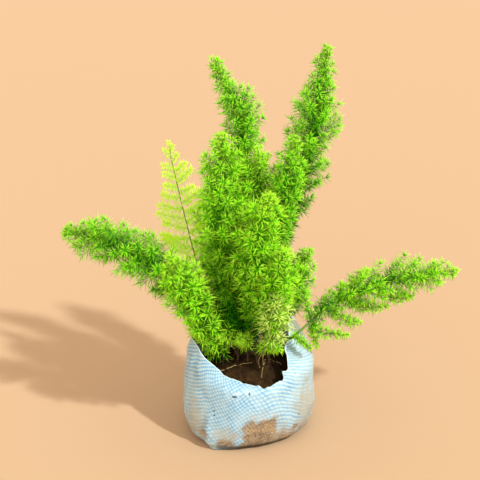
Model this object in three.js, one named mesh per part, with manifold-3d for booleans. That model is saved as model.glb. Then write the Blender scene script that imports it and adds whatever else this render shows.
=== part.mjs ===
// A foxtail fern (an asparagus with plume-shaped stems) growing in a small woven grow bag.
// Millimetres, +Z up. The origin is the middle of the bag's flat base, which stands on the XY plane.
// The front of the plant, where the bag's rim dips lowest, faces -Y.
import * as THREE from "three";
import { mergeVertices } from "three/addons/utils/BufferGeometryUtils.js";
import Module from "manifold-3d";

const wasm = await Module();
wasm.setup();

// ---------------------------------------------------------------- driving dimensions

const GAP = 0.35; // clearance between pieces that rest against each other

// The bag's skin. Each list is read at equal steps round the bag, from the right (+X) through the
// back to the front. It slumps on its foot, with one corner pushed out at the front left, and its
// mouth is folded down low at the front and gathered in at the right.
const BAG = {
  rimHeight: [
    98, 108, 113, 115, 114, 112, 112, 111, 110, 108, 106, 105,
    103, 101, 94, 86, 78, 74, 70, 69, 71, 78, 88, 93.5,
  ],
  rimRadius: [
    40, 42, 49, 58, 59, 57, 56, 57, 58, 59, 60, 61,
    60, 57.5, 56, 52, 50, 49.5, 50, 53.5, 54, 52, 43.5, 38,
  ],
  shoulderRadius: [63, 62, 58, 57, 60, 61, 64.5, 61, 59, 57, 56, 60],
  bellyRadius: [67, 66, 63, 61, 63, 66, 70.5, 70, 67, 61, 60, 64],
  footRadius: [58, 56, 53, 51, 53, 56, 60, 66, 69, 58, 53, 55],
  shoulderShare: 0.62, // how far up from the soil to the rim the shoulder lies
  bellyHeight: 27,
  turnHeight: 8, // the wall turns up from the foot over this height
  turnShare: 0.4, // how far out from foot to belly it is by then
  footFlat: 0.9, // share of the foot's radius that lies flat on the ground
  wall: 1.2,
  columns: 36,
};

// The soil fills the bag to this height at the wall and rises to a low mound under the crown.
// The stems stand in holes that are a little wider than they are.
const SOIL = {
  edgeHeight: 58,
  crownHeight: 74,
  crown: [0, 12],
  crownReach: 62,
  rings: [0.82, 0.6, 0.36, 0.15], // where the top has its rings, as shares of the way out
  holeDepth: 9,
  holeSlack: 1,
};

// A needle (a cladode), and the side branches that carry the needles. Angles are in degrees.
const NEEDLE = { length: 9.5, foot: 1.7, radius: 0.7 };
const BRANCH = {
  radius: 0.8,
  shortest: 4,
  fits: [1, 0.75, 0.5], // shares of the wanted length that are tried in turn
  steepest: 38,
  flattest: 82,
  tipShare: 0.85, // past this share of the plume the branches close up round the tip
  tipLean: 0.6,
  needleSpread: [35, 72],
};
const STEM = { sides: 4, footRadius: 1.9, tipRadius: 0.8, nodeHeight: 2.2, collar: 9, step: 16 };
const SPACING = 21; // from one whorl of side branches to the next
const SEED = 7;

// How far new growth keeps from the bag's wall, above the soil and above the rim.
const CLEAR = { wall: 5, soil: 3, rim: 2.5 };

// Every stem: where it leaves the soil, and the points it bends through, each with the plume's full
// width there, needles and all. bare is the length of stem below the needles, and laterals are the
// few side branches that grow long.
const PLUMES = [
  {
    name: "plume_tall_right",
    bare: 40,
    route: [
      [8, 20], [17, 27, 130, 44], [28, 36, 193, 36], [39, 39, 222, 38], [51, 42, 250, 52],
      [63, 46, 302, 58], [67, 47, 330, 48], [70, 48, 350, 32], [72, 48, 365, 28], [75, 48, 387, 18],
    ],
  },
  {
    name: "plume_tall_left",
    bare: 40,
    route: [
      [-5, 22], [-10, 27, 130, 44], [-10, 32, 195, 50], [-9, 36, 258, 54], [-8, 38, 302, 48],
      [-7, 39, 321, 44], [-11, 40, 333, 44], [-17, 40, 344, 32], [-28, 40, 363, 24], [-33, 40, 376, 20],
    ],
  },
  {
    name: "plume_arching_left",
    bare: 35,
    route: [
      [-16, 14], [-43, 8, 119, 44], [-69, 2, 154, 52], [-92, -2, 178, 54], [-118, -5, 197, 52],
      [-148, -6, 211, 42], [-180, -8, 219, 16],
    ],
  },
  {
    name: "plume_reaching_right",
    bare: 66,
    route: [
      [20, 8], [36, -6, 98, 0], [51, -6, 109, 0], [64, -1, 120, 24], [77, 4, 131, 38],
      [106, 12, 144, 46], [144, 15, 156.5, 50], [178, 15, 162.5, 36], [191, 15, 165, 26], [207, 14, 167, 16],
    ],
    laterals: [
      { at: 0.05, toward: [0.9, -0.25, -0.55], reach: 34 },
      { at: 0.2, toward: [0.15, 0.1, 1], reach: 22 },
      { at: 0.35, toward: [0.5, 0, 0.9], reach: 28 },
      { at: 0.5, toward: [0.7, 0, -0.75], reach: 30 },
      { at: 0.65, toward: [0.8, 0, -0.5], reach: 28 },
    ],
  },
  {
    name: "plume_inner_right",
    bare: 40,
    route: [[7, 8], [17, 2, 150, 42], [27, -4, 219, 34], [37, -9, 274, 42], [42, -12, 312, 20]],
  },
  {
    name: "plume_mid_left",
    bare: 38,
    route: [
      [-12, 6], [-23, -2, 140, 52], [-30, -8, 209, 58], [-30, -13, 258, 50], [-29, -14, 286, 42],
      [-28, -15, 303, 32], [-27, -15, 318, 16],
    ],
  },
  {
    name: "plume_mid_right",
    bare: 45,
    route: [[1, 13], [2, 10, 136, 44], [5, 8, 204, 50], [6, 4, 254, 52], [9, 3, 289, 26]],
  },
  {
    name: "plume_front_centre",
    bare: 58,
    route: [[-2, -2], [4, -16, 132, 38], [5, -36, 196, 54], [11, -49, 243, 44], [18, -58, 273, 16]],
  },
  {
    name: "plume_front_left",
    bare: 24,
    route: [[-13, -1], [-37, -14, 114, 46], [-60, -34, 158, 54], [-74, -52, 202, 28]],
  },
  {
    name: "plume_front_right",
    bare: 44,
    route: [[8, -4], [17, -20, 122, 42], [26, -38, 172, 50], [32, -54, 214, 18]],
  },
  {
    name: "plume_short_right",
    bare: 56,
    route: [[16, 14], [36, 14, 114, 16], [47, 14, 148, 34], [54, 14, 182, 20]],
  },
  {
    name: "plume_back_left",
    bare: 24,
    route: [[-12, 28], [-26, 44, 120, 46], [-36, 62, 180, 46], [-40, 76, 232, 16]],
  },
  {
    name: "plume_back_right",
    bare: 24,
    route: [[4, 30], [12, 48, 120, 46], [22, 70, 184, 46], [30, 88, 240, 16]],
  },
  {
    name: "shoot_young",
    bare: 60,
    route: [
      [-22, 22], [-44, 34, 125, 50], [-58, 39, 180, 62], [-69, 42, 228, 48], [-77, 44, 266, 30],
      [-80, 45, 280, 18], [-81, 45, 291, 13],
    ],
    colour: 0xbfdc3c,
  },
  {
    name: "sprig_yellow",
    bare: 22,
    route: [[20, 0], [22, -15, 102, 28], [24, -30, 127, 40], [26, -43, 149, 32], [27, -51, 164, 16]],
    colour: 0xc8dc50,
  },
  {
    name: "sprig_low_left",
    bare: 8,
    route: [[-28, -2], [-42, -12, 104, 32], [-58, -25, 127, 22]],
  },
];

// Thin dry roots that lie on the soil, as points in plan.
const ROOTS = [
  { name: "surface_root_left", paths: [[[-30, -14], [-21, -12], [-12, -10], [-3, -7], [4, -3]]] },
  {
    name: "surface_root_fork",
    paths: [
      [[16, 4], [15, -4], [13, -16], [12, -27]],
      [[16, 4], [21, 4], [28, 1], [33, -1]],
    ],
  },
];
const ROOT = { radius: 0.6, sides: 5, step: 3, thins: 0.4 };

const COLOURS = { needles: 0x63a81c, bag: 0x9fcfe8, soil: 0x3a2416, root: 0xa98a5c };

// ---------------------------------------------------------------- small helpers

// A repeatable stream of numbers from 0 to 1.
function randomStream(seed) {
  let state = seed >>> 0;
  return () => {
    state = (Math.imul(state, 1664525) + 1013904223) >>> 0;
    return state / 2 ** 32;
  };
}

// A value given at equal steps round a circle, read smoothly at any angle.
function around(values, angle) {
  const n = values.length;
  const place = ((((angle / (2 * Math.PI)) * n) % n) + n) % n;
  const i = Math.floor(place);
  const t = place - i;
  const [a, b, c, d] = [-1, 0, 1, 2].map((k) => values[(i + k + n) % n]);
  return b + 0.5 * t * (c - a + t * (2 * a - 5 * b + 4 * c - d + t * (3 * (b - c) + d - a)));
}

// A skin of triangles that grows ring by ring.
class Skin {
  constructor() {
    this.points = [];
    this.faces = [];
  }
  add(v) {
    this.points.push(v.x, v.y, v.z);
    return this.points.length / 3 - 1;
  }
  at(i) {
    return new THREE.Vector3().fromArray(this.points, 3 * i);
  }
  middle(ids) {
    return ids.reduce((sum, i) => sum.add(this.at(i)), new THREE.Vector3()).divideScalar(ids.length);
  }
  triangle(a, b, c) {
    this.faces.push(a, b, c);
  }
  quad(a, b, c, d) {
    this.faces.push(a, b, c, a, c, d);
  }
  // Joins two rings of equal length, the second further along the outward direction.
  band(low, high) {
    low.forEach((_, i) => {
      const j = (i + 1) % low.length;
      this.quad(low[i], low[j], high[j], high[i]);
    });
  }
  // The same band seen from its other side.
  lining(low, high) {
    low.forEach((_, i) => {
      const j = (i + 1) % low.length;
      this.quad(low[i], high[i], high[j], low[j]);
    });
  }
  // Closes a ring to one point.
  fan(ring, tip) {
    ring.forEach((_, i) => this.triangle(ring[i], ring[(i + 1) % ring.length], tip));
  }
  geometry() {
    const g = new THREE.BufferGeometry();
    g.setAttribute("position", new THREE.Float32BufferAttribute(this.points, 3));
    g.setIndex(this.faces);
    return g;
  }
}

// ---------------------------------------------------------------- the bag and the soil

// The heights at which the bag's skin has a ring of points.
const LEVELS = ["foot", "turn", "belly", "soilLine", "shoulder", "rim"];

function bagLevels(angle) {
  const read = (key) => around(BAG[key], angle);
  const foot = read("footRadius");
  const belly = read("bellyRadius");
  const shoulder = read("shoulderRadius");
  const rimHeight = read("rimHeight");
  const soilLine = SOIL.edgeHeight;
  return {
    foot: [foot * BAG.footFlat, 0],
    turn: [foot + BAG.turnShare * (belly - foot), BAG.turnHeight],
    belly: [belly, BAG.bellyHeight],
    soilLine: [0.5 * (belly + shoulder), soilLine],
    shoulder: [shoulder, soilLine + BAG.shoulderShare * (rimHeight - soilLine)],
    rim: [read("rimRadius"), rimHeight],
  };
}

// The ring of points at one level, moved inwards by a wall's thickness and up by the floor's.
function levelRing(skin, level, inset, lift = 0) {
  return Array.from({ length: BAG.columns }, (_, i) => {
    const angle = (2 * Math.PI * i) / BAG.columns;
    const [radius, height] = bagLevels(angle)[level];
    const r = radius - inset;
    return skin.add(new THREE.Vector3(r * Math.cos(angle), r * Math.sin(angle), height + lift));
  });
}

function makeBag() {
  const skin = new Skin();
  const outer = LEVELS.map((level) => levelRing(skin, level, 0));
  const inner = LEVELS.map((level) => levelRing(skin, level, BAG.wall, level === "foot" ? BAG.wall : 0));
  for (let i = 1; i < LEVELS.length; i++) {
    skin.band(outer[i - 1], outer[i]);
    skin.lining(inner[i - 1], inner[i]);
  }
  skin.band(outer.at(-1), inner.at(-1));
  skin.fan([...outer[0]].reverse(), skin.add(new THREE.Vector3(0, 0, 0)));
  skin.fan(inner[0], skin.add(new THREE.Vector3(0, 0, BAG.wall)));
  return skin.geometry();
}

// The soil's surface: a mound round the crown.
function soilHeight(x, y) {
  const away = Math.hypot(x - SOIL.crown[0], y - SOIL.crown[1]) / SOIL.crownReach;
  const rise = Math.max(0, 1 - away * away);
  return SOIL.edgeHeight + (SOIL.crownHeight - SOIL.edgeHeight) * rise;
}

function makeSoil() {
  const skin = new Skin();
  const inset = BAG.wall + GAP;
  const below = LEVELS.slice(0, 1 + LEVELS.indexOf("soilLine"));
  const sides = below.map((level) => levelRing(skin, level, inset, level === "foot" ? inset : 0));
  for (let i = 1; i < sides.length; i++) skin.band(sides[i - 1], sides[i]);
  skin.fan([...sides[0]].reverse(), skin.add(new THREE.Vector3(0, 0, inset)));
  let edge = sides.at(-1);
  for (const share of SOIL.rings) {
    const ring = sides.at(-1).map((id) => {
      const p = skin.at(id).multiplyScalar(share);
      return skin.add(new THREE.Vector3(p.x, p.y, soilHeight(p.x, p.y)));
    });
    skin.band(edge, ring);
    edge = ring;
  }
  skin.fan(edge, skin.add(new THREE.Vector3(0, 0, soilHeight(0, 0))));
  return skin.geometry();
}

// ---------------------------------------------------------------- solids

const WELD = 1e-3; // points closer than this are one

function toSolid(geometry) {
  const bare = new THREE.BufferGeometry();
  bare.setAttribute("position", geometry.getAttribute("position"));
  bare.setIndex(geometry.getIndex());
  const merged = mergeVertices(bare, WELD);
  return new wasm.Manifold(
    new wasm.Mesh({
      numProp: 3,
      vertProperties: new Float32Array(merged.getAttribute("position").array),
      triVerts: new Uint32Array(merged.getIndex().array),
    }),
  );
}

function toGeometry(solid) {
  const mesh = solid.getMesh();
  const g = new THREE.BufferGeometry();
  g.setAttribute("position", new THREE.BufferAttribute(mesh.vertProperties, 3));
  g.setIndex(new THREE.BufferAttribute(mesh.triVerts, 1));
  return g;
}

// A straight hole for one stem, a little wider than the stem.
function stemHole(x, y) {
  const top = soilHeight(x, y);
  const radius = STEM.footRadius + SOIL.holeSlack;
  const sides = 6;
  const drill = new THREE.CylinderGeometry(radius, radius, 2 * SOIL.holeDepth, sides);
  drill.deleteAttribute("normal");
  drill.deleteAttribute("uv");
  drill.rotateX(Math.PI / 2);
  drill.translate(x, y, top);
  return toSolid(drill);
}

// ---------------------------------------------------------------- keeping the growth apart

// Every stem, side branch and needle is noted here as a tapered rod, so that new growth keeps clear.
const rods = [];

// The gap left between two tapered rods where they come closest.
function clearance(a, b) {
  const u = b.end.clone().sub(b.start);
  const v = a.end.clone().sub(a.start);
  const w = a.start.clone().sub(b.start);
  const [uu, uv, vv, uw, vw] = [u.dot(u), u.dot(v), v.dot(v), u.dot(w), v.dot(w)];
  const spread = uu * vv - uv * uv;
  const clamp = (x) => Math.min(1, Math.max(0, x));
  let t = spread > 1e-9 ? clamp((uv * uw - uu * vw) / spread) : 0;
  const s = clamp((uw + t * uv) / uu);
  t = clamp((s * uv - vw) / vv);
  const onA = a.start.clone().addScaledVector(v, t);
  const onB = b.start.clone().addScaledVector(u, s);
  return onA.distanceTo(onB) - a.radius * (1 - t * a.thins) - b.radius * (1 - s * b.thins);
}

// True where a rod stands clear of the bag's wall and above the soil.
function clearOfBag(rod) {
  return [0.2, 0.5, 0.75, 1].every((share) => {
    const p = rod.start.clone().lerp(rod.end, share);
    const levels = bagLevels(Math.atan2(p.y, p.x));
    const reach = Math.hypot(p.x, p.y);
    const [rimRadius, rimHeight] = levels.rim;
    const narrowest = Math.min(rimRadius, levels.soilLine[0], levels.shoulder[0]);
    if (reach < narrowest - CLEAR.wall) return p.z > soilHeight(p.x, p.y) + CLEAR.soil;
    return p.z > rimHeight + CLEAR.rim;
  });
}

function nearby(a, b) {
  const reach = a.start.distanceTo(a.end) + b.start.distanceTo(b.end) + a.radius + b.radius;
  return a.start.distanceToSquared(b.start) < (reach + GAP) ** 2;
}

function hasRoom(rod, ignores) {
  return clearOfBag(rod) && rods.every((o) => ignores(o) || !nearby(rod, o) || clearance(rod, o) > GAP);
}

// ---------------------------------------------------------------- the plumes

// The stem's line: straight up out of its hole, then through the route's points.
function stemCurve(plume) {
  const [[x, y], ...rest] = plume.route;
  const ground = soilHeight(x, y);
  const foot = new THREE.Vector3(x, y, ground - SOIL.holeDepth + GAP);
  const collar = new THREE.Vector3(x, y, ground + STEM.collar);
  return new THREE.CatmullRomCurve3([foot, collar, ...rest.map(([x, y, z]) => new THREE.Vector3(x, y, z))]);
}

function stemRadius(share) {
  return THREE.MathUtils.lerp(STEM.footRadius, STEM.tipRadius, share);
}

// Every stem is noted first, so that no side branch grows through another plume's stem.
// The stem's skin has a ring only at each whorl, so it may stray a little from the curve in between.
const STEM_RODS = 24;
const STEM_STRAY = 0.5;
for (const plume of PLUMES) {
  const points = stemCurve(plume).getSpacedPoints(STEM_RODS);
  for (let i = 1; i < points.length; i++) {
    const radius = stemRadius((i - 1) / STEM_RODS) + STEM_STRAY;
    rods.push({ start: points[i - 1], end: points[i], radius, thins: 0, stemOf: plume.name });
  }
}

// The plume's full width at a point of its stem, read between the nearest two points of its route.
function plumeWidth(plume, p) {
  const stops = plume.route.slice(1);
  if (p.z <= stops[0][2]) return stops[0][3];
  for (let i = 1; i < stops.length; i++) {
    const low = new THREE.Vector3(...stops[i - 1]);
    const way = new THREE.Vector3(...stops[i]).sub(low);
    const share = p.clone().sub(low).dot(way) / way.lengthSq();
    if (share <= 1) return THREE.MathUtils.lerp(stops[i - 1][3], stops[i][3], Math.max(share, 0));
  }
  return stops.at(-1)[3];
}

// Raises a needle from one triangle of the skin, or leaves the triangle flat where there's no room.
function raiseNeedle(skin, face, heading, branch) {
  const start = skin.middle(face);
  const end = start.clone().addScaledVector(heading, NEEDLE.length);
  const needle = { start, end, radius: NEEDLE.radius, thins: 1, branch };
  if (!hasRoom(needle, (o) => o.branch === branch)) return skin.triangle(...face);
  rods.push(needle);
  return skin.fan(face, skin.add(end));
}

// A side branch: a thin rod raised from one triangle of the stem. Round its end stand six needles,
// three leaning out and three leaning on, and a seventh carries on from its tip.
function growBranch(skin, root, direction, length, branch) {
  const base = skin.middle(root);
  const spokes = root.map((id) => {
    const spoke = skin.at(id).sub(base);
    return spoke.addScaledVector(direction, -spoke.dot(direction)).normalize();
  });
  const ringAt = (distance) =>
    spokes.map((spoke) => {
      const v = base.clone().addScaledVector(direction, distance);
      return skin.add(v.addScaledVector(spoke, BRANCH.radius));
    });
  const low = ringAt(length - NEEDLE.foot);
  const high = ringAt(length);
  skin.band(root, low);
  low.forEach((_, i) => {
    const j = (i + 1) % low.length;
    const heading = (out, degrees) => {
      const angle = THREE.MathUtils.degToRad(degrees);
      return direction.clone().multiplyScalar(Math.cos(angle)).addScaledVector(out, Math.sin(angle));
    };
    const outLow = spokes[i].clone().multiplyScalar(0.35).add(spokes[j]).normalize();
    const outHigh = spokes[j].clone().multiplyScalar(0.35).add(spokes[i]).normalize();
    raiseNeedle(skin, [low[i], low[j], high[j]], heading(outLow, BRANCH.needleSpread[1]), branch);
    raiseNeedle(skin, [low[i], high[j], high[i]], heading(outHigh, BRANCH.needleSpread[0]), branch);
  });
  skin.fan(high, skin.add(base.clone().addScaledVector(direction, length + NEEDLE.length)));
}

const BRANCH_ROOT = 2; // this much of a side branch, at the stem, is not kept clear of others

// The longest of a few lengths at which a side branch has room, or none.
function fittingLength(base, direction, wanted, plume, branch) {
  return BRANCH.fits.map((part) => Math.max(wanted * part, BRANCH.shortest)).find((length) => {
    const rod = {
      start: base.clone().addScaledVector(direction, BRANCH_ROOT),
      end: base.clone().addScaledVector(direction, length + NEEDLE.length),
      radius: BRANCH.radius,
      thins: 0.5,
      branch,
    };
    if (!hasRoom(rod, (o) => o.stemOf === plume.name)) return false;
    rods.push(rod);
    return true;
  });
}

function makePlume(plume, index) {
  const random = randomStream(SEED + 101 * index);
  const curve = stemCurve(plume);
  const total = curve.getLength();
  const first = SOIL.holeDepth + plume.bare;
  const leafy = total - first;
  const whorls = Math.max(2, Math.round(leafy / SPACING));
  const skin = new Skin();
  const pointAt = (distance) => curve.getPointAt(Math.min(1, distance / total));
  const tangentAt = (distance) => curve.getTangentAt(Math.min(1, distance / total));
  let normal = new THREE.Vector3(1, 0, 0);

  const ringAt = (distance, turn) => {
    const along = tangentAt(distance);
    normal = normal.clone().addScaledVector(along, -normal.dot(along)).normalize();
    const side = along.clone().cross(normal);
    const radius = stemRadius(distance / total);
    return Array.from({ length: STEM.sides }, (_, i) => {
      const a = turn + (2 * Math.PI * i) / STEM.sides;
      const v = pointAt(distance).addScaledVector(normal, radius * Math.cos(a));
      return skin.add(v.addScaledVector(side, radius * Math.sin(a)));
    });
  };

  // The bare stem, from its foot in the soil to the first whorl.
  let ring = ringAt(0, 0);
  skin.fan([...ring].reverse(), skin.add(pointAt(0)));
  const steps = Math.max(2, Math.round(first / STEM.step));
  for (let i = 1; i < steps; i++) {
    const next = ringAt((first * i) / steps, 0);
    skin.band(ring, next);
    ring = next;
  }

  const laterals = plume.laterals ?? [];
  for (let w = 0; w < whorls; w++) {
    const share = (w + 0.5) / whorls;
    const distance = first + leafy * share;
    const turn = (w * Math.PI) / 4 + 0.4 * random();
    const low = ringAt(distance, turn);
    const high = ringAt(distance + STEM.nodeHeight, turn);
    skin.band(ring, low);
    const along = tangentAt(distance);
    const outs = low.map((_, i) => {
      const j = (i + 1) % STEM.sides;
      return skin.middle([low[i], low[j]]).sub(pointAt(distance)).normalize();
    });
    const lateral = laterals.find((l) => Math.abs(l.at - share) <= 0.5 / whorls);
    const toward = lateral && new THREE.Vector3(...lateral.toward).normalize();
    const facing = outs.map((out) => (toward ? out.dot(toward) : 0));
    const chosen = toward ? facing.indexOf(Math.max(...facing)) : -1;
    outs.forEach((out, i) => {
      const j = (i + 1) % STEM.sides;
      const root = [low[i], low[j], high[j]];
      skin.triangle(low[i], high[j], high[i]);
      const flat = i % 2 ? 0.5 + 0.5 * random() : 0.45 * random();
      const lean = THREE.MathUtils.lerp(BRANCH.steepest, BRANCH.flattest, flat);
      const angle = THREE.MathUtils.degToRad(share > BRANCH.tipShare ? lean * BRANCH.tipLean : lean);
      let direction = along.clone().multiplyScalar(Math.cos(angle)).addScaledVector(out, Math.sin(angle));
      const halfWidth = 0.5 * plumeWidth(plume, pointAt(distance));
      let wanted = halfWidth / Math.max(Math.sin(angle), BRANCH.tipLean) - NEEDLE.length;
      wanted *= 0.9 + 0.15 * random();
      if (i === chosen) {
        direction = toward;
        wanted = lateral.reach - NEEDLE.length;
      }
      const branch = `${plume.name} ${w} ${i}`;
      const length = fittingLength(skin.middle(root), direction, wanted, plume, branch);
      if (length) growBranch(skin, root, direction, length, branch);
      else skin.triangle(...root);
    });
    ring = high;
  }
  const crest = pointAt(total).addScaledVector(tangentAt(total), NEEDLE.length * 0.4);
  skin.fan(ring, skin.add(crest));
  return skin.geometry();
}

// ---------------------------------------------------------------- the roots on the soil

function surfaceHeight(mesh, x, y) {
  const above = new THREE.Vector3(x, y, 2 * SOIL.crownHeight);
  const ray = new THREE.Raycaster(above, new THREE.Vector3(0, 0, -1));
  return ray.intersectObject(mesh)[0].point.z;
}

// One root: a slim tube laid on the soil, with a ring every few millimetres.
function rootTube(path, soilMesh) {
  const plan = new THREE.CatmullRomCurve3(path.map(([x, y]) => new THREE.Vector3(x, y, 0)));
  const steps = Math.round(plan.getLength() / ROOT.step);
  const points = plan.getSpacedPoints(steps).map((p) => {
    const z = surfaceHeight(soilMesh, p.x, p.y) + ROOT.radius + GAP;
    return new THREE.Vector3(p.x, p.y, z);
  });
  const skin = new Skin();
  const rings = points.map((p, i) => {
    const along = points[Math.min(i + 1, steps)].clone().sub(points[Math.max(i - 1, 0)]).normalize();
    const side = along.clone().cross(new THREE.Vector3(0, 0, 1)).normalize();
    const up = side.clone().cross(along);
    const radius = ROOT.radius * (1 - (ROOT.thins * i) / steps);
    return Array.from({ length: ROOT.sides }, (_, k) => {
      const a = (-2 * Math.PI * k) / ROOT.sides;
      const v = p.clone().addScaledVector(side, radius * Math.cos(a));
      return skin.add(v.addScaledVector(up, radius * Math.sin(a)));
    });
  });
  for (let i = 1; i < rings.length; i++) skin.band(rings[i - 1], rings[i]);
  skin.fan([...rings[0]].reverse(), skin.add(points[0]));
  skin.fan(rings.at(-1), skin.add(points.at(-1)));
  return toSolid(skin.geometry());
}

// ---------------------------------------------------------------- the plant in its bag

const fern = new THREE.Group();

function place(name, geometry, colour, roughness) {
  const mesh = new THREE.Mesh(
    geometry,
    new THREE.MeshStandardMaterial({ color: colour, roughness, metalness: 0 }),
  );
  mesh.name = name;
  fern.add(mesh);
  return mesh;
}

place("grow_bag", makeBag(), COLOURS.bag, 0.6);

let soil = toSolid(makeSoil());
for (const plume of PLUMES) soil = soil.subtract(stemHole(...plume.route[0]));
const soilMesh = place("soil", toGeometry(soil), COLOURS.soil, 0.95);
soilMesh.updateMatrixWorld(true);

for (const { name, paths } of ROOTS) {
  const tubes = paths.map((path) => rootTube(path, soilMesh));
  place(name, toGeometry(tubes.reduce((a, b) => a.add(b))), COLOURS.root, 0.8);
}

PLUMES.forEach((plume, index) => {
  place(plume.name, makePlume(plume, index), plume.colour ?? COLOURS.needles, 0.5);
});

export default fern;
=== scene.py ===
# %% [markdown]
# # A foxtail fern in a woven grow bag
# A foxtail fern is an asparagus. Each of its stems carries short side branches all the way round,
# and each side branch bristles with fine green needles, so that a stem looks like a bottle brush.
# This one grows in a small bag of checked blue and white plastic cloth, full of dark soil.
#
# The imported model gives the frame: where each stem stands, how it bends, and how big the bag is.
# Every piece below replaces one of its solids with a finer one in the same place.

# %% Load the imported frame
import math

import bpy
import numpy as np
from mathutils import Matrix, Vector, noise


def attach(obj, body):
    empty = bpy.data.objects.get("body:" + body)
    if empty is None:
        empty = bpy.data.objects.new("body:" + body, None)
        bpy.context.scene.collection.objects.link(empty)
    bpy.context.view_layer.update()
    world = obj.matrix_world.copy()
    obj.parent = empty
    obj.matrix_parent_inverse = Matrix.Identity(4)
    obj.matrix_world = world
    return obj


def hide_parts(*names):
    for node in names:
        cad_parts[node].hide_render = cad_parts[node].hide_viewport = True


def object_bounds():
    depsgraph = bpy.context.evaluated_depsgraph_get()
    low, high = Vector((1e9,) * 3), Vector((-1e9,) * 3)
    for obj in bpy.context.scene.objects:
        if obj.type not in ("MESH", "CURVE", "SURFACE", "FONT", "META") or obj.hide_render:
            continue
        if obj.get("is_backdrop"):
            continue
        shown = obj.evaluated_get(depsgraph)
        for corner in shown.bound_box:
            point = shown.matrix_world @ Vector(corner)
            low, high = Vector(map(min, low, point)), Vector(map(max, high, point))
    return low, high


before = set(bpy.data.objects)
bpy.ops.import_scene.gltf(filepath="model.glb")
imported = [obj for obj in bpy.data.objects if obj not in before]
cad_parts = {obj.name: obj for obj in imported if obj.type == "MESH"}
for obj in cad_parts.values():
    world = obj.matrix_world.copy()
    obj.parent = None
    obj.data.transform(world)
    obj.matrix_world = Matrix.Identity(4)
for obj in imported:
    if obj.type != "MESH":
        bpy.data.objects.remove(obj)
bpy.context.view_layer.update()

MM = 0.001  # the frame is in metres, and the sizes below are easier to read in millimetres

# %% [markdown]
# ## Camera, floor and light
# The plant is seen from the front and a little above, through a long lens, so that the bag and
# the furthest plume keep their true proportions. A pale floor fills the view. One soft sun comes
# from the right and in front, a wide weak one from the camera's side opens up the dark parts of
# the foliage, and the pale sky fills the shadows.

# %% Camera
def place_object(name, data):
    made = bpy.data.objects.new(name, data)
    bpy.context.scene.collection.objects.link(made)
    return made


VIEW_ELEVATION = math.radians(22)
VIEW_DISTANCE = 1500 * MM
VIEW_WIDTH = 480 * MM
FILM_WIDTH = 36  # mm across the camera's sensor
LOOK_AT = Vector((-10, 0, 207)) * MM

lens = bpy.data.cameras.new("camera")
lens.sensor_width = FILM_WIDTH
lens.lens = FILM_WIDTH * VIEW_DISTANCE / VIEW_WIDTH
lens.clip_end = 20
camera = place_object("camera", lens)
towards = Vector((0, math.cos(VIEW_ELEVATION), -math.sin(VIEW_ELEVATION)))
camera.location = LOOK_AT - towards * VIEW_DISTANCE
camera.rotation_euler = towards.to_track_quat("-Z", "Y").to_euler()
bpy.context.scene.camera = camera

# %% Sun, fill and sky
bpy.context.scene.view_settings.view_transform = "Standard"


def add_sun(name, heading, energy, width, colour):
    """A far light. The heading is the way it travels, and the width, in degrees, softens its shadows."""
    light = bpy.data.lights.new(name, "SUN")
    light.energy = energy
    light.angle = math.radians(width)
    light.color = colour
    lamp = place_object(name, light)
    lamp.rotation_euler = Vector(heading).to_track_quat("-Z", "Y").to_euler()


add_sun("sun", (-0.77, 0.64, -1.0), 4.2, 3, (0.93, 0.99, 1.0))
add_sun("fill", (0.1, 0.93, -0.37), 1.3, 50, (1.0, 1.0, 1.0))

sky = bpy.data.worlds.new("sky")
sky.use_nodes = True
sky.node_tree.nodes["Background"].inputs["Color"].default_value = (1.0, 0.81, 0.64, 1)
sky.node_tree.nodes["Background"].inputs["Strength"].default_value = 1.5
bpy.context.scene.world = sky


# %% [markdown]
# ## Small helpers
# Node trees are easier to read when each node is one line. `add_node` makes a node, sets its
# options, and fills its inputs with plain values or with the outputs of other nodes.

# %% Helpers for node trees and meshes
def add_node(tree, kind, inputs=None, **options):
    made = tree.nodes.new(kind)
    for name, value in options.items():
        setattr(made, name, value)
    for key, value in (inputs or {}).items():
        if isinstance(value, bpy.types.NodeSocket):
            tree.links.new(value, made.inputs[key])
        else:
            made.inputs[key].default_value = value
    return made


def calculate(tree, operation, *values):
    """The output of a Math node: each value is a number or another node's output."""
    inputs = dict(enumerate(values))
    return add_node(tree, "ShaderNodeMath", inputs, operation=operation).outputs[0]


def combine(tree, operation, first, second):
    """The output of a Vector Math node that takes two vectors."""
    return add_node(tree, "ShaderNodeVectorMath", {0: first, 1: second}, operation=operation).outputs[0]


def split(tree, vector):
    """The X, Y and Z of a vector."""
    return add_node(tree, "ShaderNodeSeparateXYZ", {0: vector}).outputs


def rescale(tree, value, low, high, new_low=0.0, new_high=1.0, smooth=False):
    """Maps a value from one range to another, and holds it at the ends."""
    inputs = {"Value": value, 1: low, 2: high, 3: new_low, 4: new_high}
    kind = "SMOOTHSTEP" if smooth else "LINEAR"
    return add_node(tree, "ShaderNodeMapRange", inputs, interpolation_type=kind).outputs[0]


def open_group(name, kind, inputs, outputs):
    """A new node group with named sockets. Returns the group and its input and output nodes."""
    group = bpy.data.node_groups.new(name, kind)
    for label, socket, default in inputs:
        made = group.interface.new_socket(label, in_out="INPUT", socket_type="NodeSocket" + socket)
        if default is not None:
            made.default_value = default
    for label, socket in outputs:
        group.interface.new_socket(label, in_out="OUTPUT", socket_type="NodeSocket" + socket)
    return group, group.nodes.new("NodeGroupInput").outputs, group.nodes.new("NodeGroupOutput")


def new_piece(name, points, faces, smooth=True):
    mesh = bpy.data.meshes.new(name)
    mesh.from_pydata([tuple(p) for p in points], [], faces)
    mesh.update()
    if smooth:
        mesh.polygons.foreach_set("use_smooth", [True] * len(mesh.polygons))
    return place_object(name, mesh)


def band(low, high, count):
    """Faces between two rings of points, each given by the number of its first point."""
    return [(low + i, low + (i + 1) % count, high + (i + 1) % count, high + i) for i in range(count)]


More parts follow.
